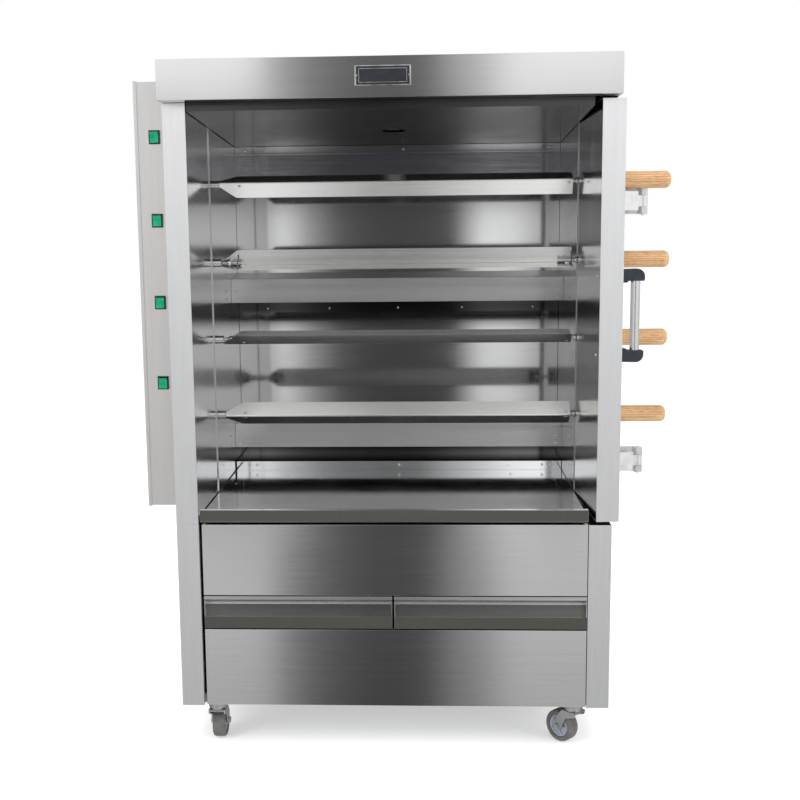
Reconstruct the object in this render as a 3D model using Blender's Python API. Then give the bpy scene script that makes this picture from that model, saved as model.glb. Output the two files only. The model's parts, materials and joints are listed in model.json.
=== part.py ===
"""Floor-standing gas rotisserie oven with four powered spits, two drawers and four casters.

Units are metres. X runs to the right along the front, Y runs from the front to the back, Z is up.
Every piece is placed from the cabinet's own datum: X = 0 on the cabinet's centre plane, Y = 0 on
the front face of its posts, Z = 0 on the ground. The empty "cabinet_datum" then puts the centre of
the whole object's box, handles and motor housing included, on the world's origin.
"""

import math

import bmesh
import bpy
from mathutils import Matrix, Vector

# ---------------------------------------------------------------- driving dimensions
GAP = 0.0003              # clearance between pieces that rest on each other
SHEET = 0.0015            # thickness of the folded sheet

HALF_WIDTH = 0.4875       # cabinet
DEPTH = 0.700
WALL = 0.050              # thickness of the hollow side walls and width of the posts
BASE_BOTTOM = 0.108
BASE_FLOOR_Z = 0.110
BASE_TOP = 0.5346
BODY_TOP = 1.463
HOOD_TOP = 1.547
HOOD_OVERHANG = 0.048
REAR_WALL_Y = 0.650       # face of the oven's rear wall
REAR_SEAM_Z = 0.962
CEILING_FRONT_Z = 1.445
CEILING_REAR_Z = 1.416

FASCIA_FACE_Y = 0.003
FASCIA_RETURN = 0.015
UPPER_FASCIA_BOTTOM = 0.3705
LOWER_FASCIA_TOP = 0.2895
LEFT_REVEAL = 0.0065      # groove between the left post and the fronts
RIGHT_REVEAL = 0.0015

DRAWER_BOTTOM = 0.2925
DRAWER_TOP = 0.3680
DRAWER_LIP_TOP = 0.3200
DRAWER_PULL_DEPTH = 0.026
DRAWER_GAP = 0.0042
DRAWER_DEPTH = 0.540
DRAWER_SIDE_TOP = 0.350

PAN_FRONT_Y = 0.006
PAN_LIP_TOP = 0.568
PAN_LIP_BOTTOM = 0.5400
PAN_LIP_WIDTH = 0.012
PAN_FLOOR_Z = 0.5515
PAN_REAR_Y = 0.532
PAN_REAR_TOP = 0.5755

SPIT_Y = 0.280
SPIT_TOP_Z = 1.3005
SPIT_PITCH = 0.1860
SPIT_ROLLS = (160.0, -30.0, -83.0, 188.0)   # direction of each blade's ridge about +X, in degrees
SPIT_COUNT = len(SPIT_ROLLS)
BLADE_LEFT = -0.377
BLADE_RIGHT = 0.4255
BLADE_TAPER = 0.038
BLADE_LEG = 0.039
BLADE_RIDGE_OFFSET = 0.013
SPIT_SHAFT_RADIUS = 0.005
SPIT_TANG = 0.0080
JOURNAL_RADIUS = 0.0075
NOTCH_RADIUS = 0.0088
SOCKET_RADIUS = 0.0095
SOCKET_HOLE = 0.0090
SOCKET_REACH = 0.022      # how far a drive socket stands out of the left wall
SOCKET_CLEARANCE_RADIUS = 0.0114
GUIDE_WIDTH = 0.038       # upright strip on the left wall that carries the drive sockets
GUIDE_PROUD = 0.002
HANDLE_RADIUS = 0.020
HANDLE_START = 0.530
HANDLE_END = 0.6545

SHIELD_FACE_Y = 0.530
SHIELD_HEIGHT = 0.0625
SHIELD_BOTTOMS = (1.0030, 0.6150)
BURNER_Y = 0.590
BURNER_RADIUS = 0.0105
BURNER_RISE = 0.030       # burner axis above its shield's lower edge
MANIFOLD_X = 0.4555
MANIFOLD_RADIUS = 0.009
INLET_Z = 0.600
INLET_REACH = 0.028
FLUE_Y = 0.370
FLUE_RADIUS = 0.030
FLUE_TOP = 1.572

MOTOR_OUTER_X = -0.578
MOTOR_FRONT_Y = 0.120
MOTOR_BACK_Y = 0.440
MOTOR_BOTTOM = 0.5527
MOTOR_TOP = 1.5232
MOTOR_LIP = 0.008
SWITCH_ABOVE_SPIT = 0.101
BEZEL_WIDTH = 0.0255
BEZEL_HEIGHT = 0.0310
SWITCH_BODY = (0.0218, 0.0282)   # width and height behind the bezel
ROCKER_WIDTH = 0.0190
ROCKER_HALF = 0.0126      # half the height of a rocker's face
ROCKER_DEPTH = 0.0045
ROCKER_DISH = 0.0014
ROCKER_TILT = 7.0         # degrees either side of level

DOOR_BOTTOM = 0.544
DOOR_TOP = 1.4585
DOOR_BACK_Y = 0.279
FIXED_WALL_Y = 0.281
DOOR_PIVOT_X = 0.5955
DOOR_PIVOT_Y = 0.300
DOOR_AJAR = 2.65          # degrees open as the oven stands
HINGE_HEIGHTS = (1.2513, 0.6250)
HINGE_HALF_HEIGHT = 0.0305
HINGE_MIDDLE_HALF = 0.0135
HINGE_PIN_RADIUS = 0.004
HINGE_BORE_RADIUS = 0.0043
KNUCKLE_RADIUS = 0.0105

PULL_Y = 0.037            # door handle, from the door's front face
PULL_Z = 0.998
PULL_LENGTH = 0.204
PULL_REACH = 0.052
PULL_BAR_OFFSET = 0.034
PULL_BAR_RADIUS = 0.0103

NAMEPLATE_CENTRE = (-0.0105, 1.507)
NAMEPLATE_SIZE = (0.117, 0.041)
NAMEPLATE_PROUD = 0.0015

CASTER_X = 0.415
CASTER_FRONT_Y = 0.050
CASTER_REAR_Y = 0.640
CASTER_TRAIL = 0.033
WHEEL_RADIUS = 0.0375
WHEEL_WIDTH = 0.030
AXLE_RADIUS = 0.0045
CASTER_HEADINGS = (0.0, 45.0, 20.0, -30.0)  # front left, front right, rear left, rear right

SCREW_RADIUS = 0.0042
SCREW_HEIGHT = 0.0025
COVER_SCREW_STEPS = (0.1925, 0.3255, 0.4580)

# The box of the whole object is centred on the world's origin.
LEFT_END = MOTOR_OUTER_X - SCREW_HEIGHT
FRONT_END = -HOOD_OVERHANG - NAMEPLATE_PROUD - GAP
DATUM = Vector((-(LEFT_END + HANDLE_END) / 2, -(FRONT_END + DEPTH + INLET_REACH) / 2, 0.0))

LINER_X = HALF_WIDTH - WALL      # inner faces of both side walls and posts


def spit_height(index):
    """Height of a spit's axis, counted from the top one."""
    return SPIT_TOP_Z - SPIT_PITCH * index


def burner_height(index):
    """Height of a burner tube's axis, counted from the upper one."""
    return SHIELD_BOTTOMS[index] + BURNER_RISE


# ---------------------------------------------------------------- scene helpers
def clear_scene():
    for obj in list(bpy.data.objects):
        bpy.data.objects.remove(obj, do_unlink=True)


def make_material(name, colour, roughness, metallic):
    """A Principled material with one colour."""
    made = bpy.data.materials.new(name)
    made.use_nodes = True
    shader = made.node_tree.nodes["Principled BSDF"]
    shader.inputs["Base Color"].default_value = (*colour, 1.0)
    shader.inputs["Roughness"].default_value = roughness
    shader.inputs["Metallic"].default_value = metallic
    made.diffuse_color = (*colour, 1.0)
    return made


def make_empty(name, location, parent=None, rotation=(0.0, 0.0, 0.0)):
    """An empty that stands for a datum or a joint's axis."""
    made = bpy.data.objects.new(name, None)
    made.location = location
    made.rotation_euler = rotation
    made.parent = parent
    bpy.context.scene.collection.objects.link(made)
    return made


def to_mesh(name, shape):
    """Turns a bmesh into a mesh with its faces pointing out."""
    bmesh.ops.recalc_face_normals(shape, faces=shape.faces)
    mesh = bpy.data.meshes.new(name)
    shape.to_mesh(mesh)
    shape.free()
    return mesh


def place(name, mesh, material, parent, location=(0.0, 0.0, 0.0), rotation=(0.0, 0.0, 0.0)):
    """Adds one named piece to the scene."""
    made = bpy.data.objects.new(name, mesh)
    made.location = location
    made.rotation_euler = rotation
    made.parent = parent
    bpy.context.scene.collection.objects.link(made)
    if not mesh.materials:
        mesh.materials.append(material)
    mesh.shade_smooth()
    mesh.set_sharp_from_angle(angle=math.radians(35))
    return made


# ---------------------------------------------------------------- shape helpers
def box(low, high):
    """A closed block between two corners."""
    shape = bmesh.new()
    size = Vector(high) - Vector(low)
    centre = (Vector(high) + Vector(low)) / 2
    matrix = Matrix.Translation(centre) @ Matrix.Diagonal((*size, 1.0))
    bmesh.ops.create_cube(shape, size=1.0, matrix=matrix)
    return shape


def boxes(*corners):
    """Several separate blocks in one shape."""
    shape = bmesh.new()
    for low, high in corners:
        append(shape, box(low, high))
    return shape


def append(target, source, matrix=None):
    """Copies one bmesh into another, and frees the copied one."""
    mesh = bpy.data.meshes.new("passing")
    source.to_mesh(mesh)
    source.free()
    if matrix is not None:
        mesh.transform(matrix)
    target.from_mesh(mesh)
    bpy.data.meshes.remove(mesh)


def prism(outline, axis, start, end):
    """Extrudes a closed outline along an axis. The outline lists the other two coordinates in order."""
    shape = bmesh.new()

    def point(pair, along):
        if axis == "X":
            return (along, pair[0], pair[1])
        if axis == "Y":
            return (pair[0], along, pair[1])
        return (pair[0], pair[1], along)

    near = [shape.verts.new(point(pair, start)) for pair in outline]
    far = [shape.verts.new(point(pair, end)) for pair in outline]
    shape.faces.new(near)
    shape.faces.new(list(reversed(far)))
    count = len(outline)
    for i in range(count):
        j = (i + 1) % count
        shape.faces.new((near[j], near[i], far[i], far[j]))
    bmesh.ops.recalc_face_normals(shape, faces=shape.faces)
    return shape


def folded(path, thickness):
    """The outline of a folded sheet: the path and its parallel, to the right of the path's direction.

    A negative thickness puts the parallel on the left.
    """
    points = [Vector(p) for p in path]
    normals = []
    for a, b in zip(points, points[1:]):
        run = (b - a).normalized()
        normals.append(Vector((run.y, -run.x)))
    offset = []
    for i, point in enumerate(points):
        before = normals[max(i - 1, 0)]
        after = normals[min(i, len(normals) - 1)]
        mitre = (before + after) / (1.0 + before.dot(after))
        offset.append(point + mitre * thickness)
    return [tuple(p) for p in points] + [tuple(p) for p in reversed(offset)]


def arc(centre, radius, start, end, steps):
    """Points on a circle's arc, angles in degrees."""
    points = []
    for i in range(steps + 1):
        angle = math.radians(start + (end - start) * i / steps)
        points.append((centre[0] + radius * math.cos(angle), centre[1] + radius * math.sin(angle)))
    return points


def cylinder(radius, start, end, axis="Z", at=(0.0, 0.0), segments=16, phase=0.0):
    """A closed cylinder along an axis, from start to end, with the other two coordinates at."""
    return turned([(start, 0.0), (start, radius), (end, radius), (end, 0.0)], axis, at, segments, phase)


def turned(profile, axis="Z", at=(0.0, 0.0), segments=16, phase=0.0, ring=False):
    """Turns a profile of (distance along the axis, radius). A ring's profile closes on itself."""
    shape = bmesh.new()

    def point(along, radius, angle):
        a = radius * math.cos(angle)
        b = radius * math.sin(angle)
        if axis == "X":
            return (along, at[0] + a, at[1] + b)
        if axis == "Y":
            return (at[0] + b, along, at[1] + a)
        return (at[0] + a, at[1] + b, along)

    rings = []
    for along, radius in profile:
        if radius == 0.0:
            rings.append([shape.verts.new(point(along, 0.0, 0.0))] * segments)
        else:
            angles = [math.radians(phase) + 2 * math.pi * i / segments for i in range(segments)]
            rings.append([shape.verts.new(point(along, radius, angle)) for angle in angles])
    pairs = list(zip(rings, rings[1:]))
    if ring:
        pairs.append((rings[-1], rings[0]))
    for first, second in pairs:
        for i in range(segments):
            j = (i + 1) % segments
            corners = []
            for vert in (first[i], first[j], second[j], second[i]):
                if vert not in corners:
                    corners.append(vert)
            shape.faces.new(corners)
    bmesh.ops.recalc_face_normals(shape, faces=shape.faces)
    return shape


def combined(base, operation, *others):
    """The base shape with the others cut away or joined on, as one mesh."""
    scene = bpy.context.scene.collection.objects
    target = bpy.data.objects.new("combining", to_mesh("combining", base))
    scene.link(target)
    helpers = []
    for other in others:
        helper = bpy.data.objects.new("combining_helper", to_mesh("combining_helper", other))
        scene.link(helper)
        helpers.append(helper)
        modifier = target.modifiers.new("combine", "BOOLEAN")
        modifier.operation = operation
        modifier.solver = "EXACT"
        modifier.object = helper
    evaluated = target.evaluated_get(bpy.context.evaluated_depsgraph_get())
    mesh = bpy.data.meshes.new_from_object(evaluated)
    shape = bmesh.new()
    shape.from_mesh(mesh)
    bmesh.ops.remove_doubles(shape, verts=shape.verts, dist=1e-6)
    bmesh.ops.dissolve_limit(shape, angle_limit=math.radians(0.1), verts=shape.verts, edges=shape.edges)
    for obj in (target, *helpers):
        bpy.data.objects.remove(obj, do_unlink=True)
    return shape


def cut(base, *others):
    return combined(base, "DIFFERENCE", *others)


def joined(base, *others):
    return combined(base, "UNION", *others)


def gathered(*shapes):
    """Separate solids kept apart in one shape."""
    whole = bmesh.new()
    for shape in shapes:
        append(whole, shape)
    return whole


def spit_axis_cylinders(radius, start, end):
    """One cylinder along every spit's axis."""
    return gathered(*(
        cylinder(radius, start, end, "X", (SPIT_Y, spit_height(i)), 12, 15.0)
        for i in range(SPIT_COUNT)
    ))


# ---------------------------------------------------------------- base cabinet
def caster_places():
    """Swivel centres: front left, front right, rear left, rear right."""
    return (
        (-CASTER_X, CASTER_FRONT_Y),
        (CASTER_X, CASTER_FRONT_Y),
        (-CASTER_X, CASTER_REAR_Y),
        (CASTER_X, CASTER_REAR_Y),
    )


def caster_plates():
    """Mounting plates with their swivel races, welded under the cabinet's floor."""
    plates = []
    plate_top = BASE_FLOOR_Z + SHEET / 3
    for x, y in caster_places():
        plate = box((x - 0.044, y - 0.030, BASE_FLOOR_Z - 0.0028), (x + 0.044, y + 0.038, plate_top))
        cup = turned(
            [(0.0837, 0.0), (0.0837, 0.0190), (0.0890, 0.0215), (0.1020, 0.0215),
             (BASE_FLOOR_Z - 0.0020, 0.0240), (BASE_FLOOR_Z - 0.0020, 0.0)], "Z", (x, y), 14,
        )
        plates.append(joined(plate, cup))
    return plates


def build_base(datum, steel, zinc):
    side = [
        (-HALF_WIDTH + WALL, 0.014),
        (-HALF_WIDTH + WALL, 0.0),
        (-HALF_WIDTH, 0.0),
        (-HALF_WIDTH, DEPTH),
        (-HALF_WIDTH + 0.020, DEPTH),
    ]
    left = folded(side, SHEET)
    right = [(-x, y) for x, y in left]
    for name, outline in (("base_left_side", left), ("base_right_side", right)):
        place(name, to_mesh(name, prism(outline, "Z", BASE_BOTTOM, BASE_TOP)), steel, datum)

    inside = HALF_WIDTH - SHEET - GAP
    back_y = DEPTH - SHEET - GAP
    back = box((-inside, back_y - SHEET, BASE_BOTTOM + 0.004), (inside, back_y, BASE_TOP - 0.002))
    place("base_back", to_mesh("base_back", back), steel, datum)

    floor_front = 0.0185
    floor_back = back_y - SHEET - GAP
    rim = BASE_FLOOR_Z + 0.020
    floor = [(floor_front, rim), (floor_front, BASE_FLOOR_Z), (floor_back, BASE_FLOOR_Z), (floor_back, rim)]
    tray = prism(folded(floor, -SHEET), "X", -inside, inside)
    place("base_bottom", to_mesh("base_bottom", joined(tray, *caster_plates())), zinc, datum)


def fascia(bottom, top):
    """A front panel folded back along its lower and upper edges."""
    path = [
        (FASCIA_FACE_Y + FASCIA_RETURN, bottom),
        (FASCIA_FACE_Y, bottom),
        (FASCIA_FACE_Y, top),
        (FASCIA_FACE_Y + FASCIA_RETURN, top),
    ]
    return prism(folded(path, SHEET), "X", -LINER_X + LEFT_REVEAL, LINER_X - RIGHT_REVEAL)


def build_fascias(datum, steel):
    upper = fascia(UPPER_FASCIA_BOTTOM, BASE_TOP)
    lower = fascia(BASE_BOTTOM + 0.001, LOWER_FASCIA_TOP)
    place("upper_fascia", to_mesh("upper_fascia", upper), steel, datum)
    place("lower_fascia", to_mesh("lower_fascia", lower), steel, datum)


def drawer_sides():
    """Left and right edges of each drawer's front."""
    return (
        (-LINER_X + LEFT_REVEAL, -DRAWER_GAP / 2),
        (DRAWER_GAP / 2, LINER_X - RIGHT_REVEAL),
    )


def build_drawers(datum, steel):
    face = FASCIA_FACE_Y + 0.0002
    back = face + DRAWER_PULL_DEPTH
    scoop_centre = (face + 0.006, 0.3385)
    scoop = arc(scoop_centre, 0.020, 85.0, 0.0, 4)
    path = [
        (face + 0.014, DRAWER_BOTTOM),
        (face, DRAWER_BOTTOM),
        (face, DRAWER_LIP_TOP),
        (back, DRAWER_LIP_TOP),
        *reversed(scoop),
        (face, 0.3600),
        (face, DRAWER_TOP),
        (face + 0.016, DRAWER_TOP),
    ]
    tray_front = back - 0.0005
    tray_floor = DRAWER_BOTTOM + 0.0040
    for name, (low, high) in zip(("left_drawer", "right_drawer"), drawer_sides()):
        front = prism(folded(path, SHEET), "X", low, high)
        left = low + 0.012
        right = high - 0.012
        outer = box((left, tray_front, tray_floor), (right, tray_front + DRAWER_DEPTH, DRAWER_SIDE_TOP))
        inner = box(
            (left + SHEET, tray_front + SHEET, tray_floor + SHEET),
            (right - SHEET, tray_front + DRAWER_DEPTH - SHEET, DRAWER_SIDE_TOP + 0.010),
        )
        tray = cut(outer, inner)
        cheeks = boxes(
            ((low + 0.0003, face + 0.0008, DRAWER_LIP_TOP - 0.0008), (low + 0.0018, back + 0.0008, 0.3580)),
            ((high - 0.0018, face + 0.0008, DRAWER_LIP_TOP - 0.0008), (high - 0.0003, back + 0.0008, 0.3580)),
        )
        slide = make_empty(name + "_slide", (0.0, 0.0, 0.0), datum)
        place(name, to_mesh(name, joined(front, tray, cheeks)), steel, slide)

    rails = []
    rail_front = 0.034
    rail_back = DEPTH - 2 * SHEET - 3 * GAP
    shelf = DRAWER_BOTTOM + 0.0012
    for low, high in drawer_sides():
        for edge, inward in ((low + 0.012, 1), (high - 0.012, -1)):
            outline = [
                (edge + inward * 0.014, shelf),
                (edge - inward * 0.0025, shelf),
                (edge - inward * 0.0025, shelf + 0.030),
            ]
            rails.append(prism(folded(outline, SHEET * inward), "Y", rail_front, rail_back))
    inside = HALF_WIDTH - SHEET - GAP
    tie = box((-inside, rail_back - SHEET, shelf + 0.0002), (inside, rail_back + 0.0001, shelf + 0.028))
    place("drawer_runners", to_mesh("drawer_runners", joined(tie, *rails)), steel, datum)


# ---------------------------------------------------------------- oven cabinet
def build_walls(datum, steel, liner):
    left = [
        (-HALF_WIDTH + WALL, 0.0),
        (-HALF_WIDTH, 0.0),
        (-HALF_WIDTH, DEPTH),
        (-HALF_WIDTH + 0.020, DEPTH),
    ]
    outer = prism(folded(left, SHEET), "Z", BASE_TOP + GAP, BODY_TOP - GAP)
    holes = spit_axis_cylinders(SOCKET_CLEARANCE_RADIUS, -HALF_WIDTH - 0.01, -HALF_WIDTH + 0.01)
    place("left_outer_panel", to_mesh("left_outer_panel", cut(outer, holes)), steel, datum)

    strip_half = GUIDE_WIDTH / 2
    strip_proud = GUIDE_PROUD
    face = -LINER_X
    rear = REAR_WALL_Y - GAP
    section = [
        (face - SHEET, SHEET + GAP),
        (face, SHEET + GAP),
        (face, SPIT_Y - strip_half),
        (face + strip_proud, SPIT_Y - strip_half),
        (face + strip_proud, SPIT_Y + strip_half),
        (face, SPIT_Y + strip_half),
        (face, rear),
        (face - SHEET, rear),
    ]
    inner = prism(section, "Z", BASE_TOP + GAP, BODY_TOP - GAP)
    holes = spit_axis_cylinders(SOCKET_CLEARANCE_RADIUS, face - 0.01, face + 0.01)
    place("left_inner_liner", to_mesh("left_inner_liner", cut(inner, holes)), liner, datum)

    right = [
        (LINER_X, FIXED_WALL_Y),
        (HALF_WIDTH, FIXED_WALL_Y),
        (HALF_WIDTH, DEPTH),
        (HALF_WIDTH - 0.020, DEPTH),
    ]
    outer = prism(folded(right, -SHEET), "Z", BASE_TOP + GAP, BODY_TOP - GAP)
    notches = spit_axis_cylinders(NOTCH_RADIUS, LINER_X - 0.01, HALF_WIDTH + 0.01)
    stems = gathered(*(
        cylinder(0.0095, HALF_WIDTH - 0.01, HALF_WIDTH + 0.01, "X", (BURNER_Y, burner_height(i)))
        for i in range(len(SHIELD_BOTTOMS))
    ))
    place("right_rear_panel", to_mesh("right_rear_panel", cut(outer, notches, stems)), steel, datum)

    inner = box(
        (LINER_X, FIXED_WALL_Y + SHEET + GAP, BASE_TOP + GAP),
        (LINER_X + SHEET, rear, BODY_TOP - GAP),
    )
    notches = spit_axis_cylinders(NOTCH_RADIUS, LINER_X - 0.01, LINER_X + 0.01)
    burners = gathered(*(
        cylinder(BURNER_RADIUS + 0.001, LINER_X - 0.01, LINER_X + 0.01, "X", (BURNER_Y, burner_height(i)))
        for i in range(len(SHIELD_BOTTOMS))
    ))
    place("right_inner_liner", to_mesh("right_inner_liner", cut(inner, notches, burners)), liner, datum)


def build_back(datum, steel, liner):
    inside = HALF_WIDTH - SHEET - GAP
    lap = 0.013
    band_top = CEILING_REAR_Z - GAP
    band_bottom = band_top - 0.021
    face = REAR_WALL_Y
    upper_face = face - 0.0015
    band_face = upper_face - 0.0015
    low = BASE_TOP + GAP
    high = BODY_TOP - GAP
    section = [
        (face, low),
        (face, REAR_SEAM_Z),
        (upper_face, REAR_SEAM_Z),
        (upper_face, band_bottom),
        (band_face, band_bottom),
        (band_face, band_top),
        (upper_face, band_top),
        (upper_face, high),
        (face, high),
        (face, REAR_SEAM_Z + lap),
        (face + SHEET, REAR_SEAM_Z + lap),
        (face + SHEET, low),
    ]
    wall = prism(section, "X", -LINER_X + GAP, LINER_X - GAP)
    place("back_wall", to_mesh("back_wall", wall), liner, datum)

    cover_y = DEPTH - SHEET - GAP
    cover = box((-inside, cover_y - SHEET, low), (inside, cover_y, high))
    inlet = cylinder(MANIFOLD_RADIUS + 0.001, cover_y - 0.02, cover_y + 0.02, "Y", (MANIFOLD_X, INLET_Z))
    place("back_cover", to_mesh("back_cover", cut(cover, inlet)), steel, datum)


def build_top(datum, steel, liner, name_finish, duct_finish):
    rear = REAR_WALL_Y - 0.0035
    path = [
        (0.002, BODY_TOP - GAP),
        (0.002, CEILING_FRONT_Z),
        (rear, CEILING_REAR_Z),
        (rear, BODY_TOP - GAP),
    ]
    ceiling = prism(folded(path, -SHEET), "X", -LINER_X + GUIDE_PROUD + GAP, LINER_X - SHEET)
    flue_hole = cylinder(FLUE_RADIUS + 0.0008, 1.40, 1.50, "Z", (0.0, FLUE_Y), 16)
    place("ceiling_panel", to_mesh("ceiling_panel", cut(ceiling, flue_hole)), liner, datum)

    outer = box((-HALF_WIDTH, -HOOD_OVERHANG, BODY_TOP), (HALF_WIDTH, DEPTH, HOOD_TOP))
    hollow = box(
        (-HALF_WIDTH + SHEET, -HOOD_OVERHANG + SHEET, BODY_TOP + SHEET),
        (HALF_WIDTH - SHEET, DEPTH - SHEET, HOOD_TOP - SHEET),
    )
    mouth = box(
        (-HALF_WIDTH + SHEET, 0.0, BODY_TOP - 0.01),
        (HALF_WIDTH - SHEET, DEPTH - SHEET, BODY_TOP + 2 * SHEET),
    )
    flue_hole = cylinder(FLUE_RADIUS + 0.0008, HOOD_TOP - 0.01, HOOD_TOP + 0.01, "Z", (0.0, FLUE_Y), 16)
    hood = cut(outer, joined(hollow, mouth), flue_hole)
    place("hood", to_mesh("hood", hood), steel, datum)

    duct_bottom = 1.4325
    wall = 0.0013
    profile = [
        (duct_bottom + 0.0012, FLUE_RADIUS - wall),
        (duct_bottom + 0.0140, FLUE_RADIUS - wall),
        (FLUE_TOP, FLUE_RADIUS - wall),
        (FLUE_TOP, FLUE_RADIUS),
        (duct_bottom + 0.0155, FLUE_RADIUS),
        (duct_bottom + 0.0155, FLUE_RADIUS + 0.014),
        (duct_bottom + 0.0140, FLUE_RADIUS + 0.014),
        (duct_bottom + 0.0140, FLUE_RADIUS),
        (duct_bottom + 0.0012, FLUE_RADIUS),
    ]
    duct = turned(profile, "Z", (0.0, FLUE_Y), 16, ring=True)
    place("flue_duct", to_mesh("flue_duct", duct), duct_finish, datum)

    centre_x, centre_z = NAMEPLATE_CENTRE
    half_x = NAMEPLATE_SIZE[0] / 2
    half_z = NAMEPLATE_SIZE[1] / 2
    face_y = -HOOD_OVERHANG - GAP
    plate = box(
        (centre_x - half_x, face_y - NAMEPLATE_PROUD, centre_z - half_z),
        (centre_x + half_x, face_y, centre_z + half_z),
    )
    place("nameplate", to_mesh("nameplate", plate), name_finish, datum)


def build_pan(datum, liner):
    path = [
        (PAN_FRONT_Y, PAN_LIP_BOTTOM),
        (PAN_FRONT_Y, PAN_LIP_TOP),
        (PAN_FRONT_Y + PAN_LIP_WIDTH, PAN_LIP_TOP),
        (PAN_FRONT_Y + PAN_LIP_WIDTH, PAN_FLOOR_Z),
        (PAN_REAR_Y, PAN_FLOOR_Z),
        (PAN_REAR_Y, PAN_REAR_TOP),
        (REAR_WALL_Y - GAP, PAN_REAR_TOP),
    ]
    pan = prism(folded(path, SHEET), "X", -LINER_X + GUIDE_PROUD + GAP, LINER_X - 0.001)
    place("drip_pan", to_mesh("drip_pan", pan), liner, datum)


def build_burners(datum, liner, dark):
    pipes = []
    for index, bottom in enumerate(SHIELD_BOTTOMS):
        top = bottom + SHIELD_HEIGHT
        path = [
            (SHIELD_FACE_Y + 0.012, bottom),
            (SHIELD_FACE_Y, bottom),
            (SHIELD_FACE_Y, top - 0.027),
            (SHIELD_FACE_Y + 0.008, top),
            (REAR_WALL_Y - 0.0035, top + 0.012),
        ]
        shield = prism(folded(path, SHEET), "X", -LINER_X + GAP, LINER_X - GAP)
        name = ("burner_shield_upper", "burner_shield_lower")[index]
        place(name, to_mesh(name, shield), liner, datum)
        axis = (BURNER_Y, burner_height(index))
        pipes.append(cylinder(BURNER_RADIUS, -0.415, MANIFOLD_X - 0.014, "X", axis, 10))
        pipes.append(cylinder(0.006, MANIFOLD_X - 0.020, HALF_WIDTH + 0.006, "X", axis, 8))
    upright = cylinder(
        MANIFOLD_RADIUS, INLET_Z - 0.012, burner_height(0) + 0.014, "Z", (MANIFOLD_X, BURNER_Y), 10, 18.0
    )
    inlet = cylinder(MANIFOLD_RADIUS - 0.0008, BURNER_Y, DEPTH + INLET_REACH, "Y", (MANIFOLD_X, INLET_Z), 10)
    pipework = joined(upright, inlet, *pipes)
    place("burner_pipework", to_mesh("burner_pipework", pipework), dark, datum)


def build_taps(datum, black):
    start = HALF_WIDTH + 0.0070
    profile = [
        (start, 0.0),
        (start, 0.0210),
        (start + 0.006, 0.0210),
        (start + 0.008, 0.0185),
        (start + 0.025, 0.0165),
        (start + 0.027, 0.0145),
        (start + 0.027, 0.0),
    ]
    for index in range(len(SHIELD_BOTTOMS)):
        location = (0.0, BURNER_Y, burner_height(index))
        name = f"tap_knob_{index + 1}"
        stem_hole = cylinder(0.0065, start - 0.01, start + 0.0015, "X", (0.0, 0.0), 8)
        pointer = box((start + 0.020, -0.0025, -0.019), (start + 0.0285, 0.0025, 0.019))
        knob = joined(cut(turned(profile, "X", (0.0, 0.0), 14), stem_hole), pointer)
        pivot = make_empty(f"tap_{index + 1}_axis", location, datum)
        place(name, to_mesh(name, knob), black, pivot)


# ---------------------------------------------------------------- motor housing
def switch_height(index):
    return spit_height(index) + SWITCH_ABOVE_SPIT


def screw_head(position, direction):
    """A low round head standing on a face, its base just inside the position."""
    profile = [
        (-GAP, 0.0),
        (-GAP, SCREW_RADIUS),
        (SCREW_HEIGHT, SCREW_RADIUS * 0.6),
        (SCREW_HEIGHT, 0.0),
    ]
    head = turned(profile, "Z", segments=6)
    turn = Vector((0.0, 0.0, 1.0)).rotation_difference(Vector(direction)).to_matrix().to_4x4()
    shape = bmesh.new()
    append(shape, head, Matrix.Translation(position) @ turn)
    return shape


def cover_screw_heads():
    """Two columns of screws that hold the motor housing's cover."""
    middle = (MOTOR_BOTTOM + MOTOR_TOP) / 2 - 0.0032
    steps = (0.0, *COVER_SCREW_STEPS, *(-step for step in COVER_SCREW_STEPS))
    columns = (MOTOR_FRONT_Y + 0.015, MOTOR_BACK_Y - 0.015)
    return [
        screw_head((MOTOR_OUTER_X, y, middle + step), (-1.0, 0.0, 0.0))
        for step in steps
        for y in columns
    ]


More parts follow.
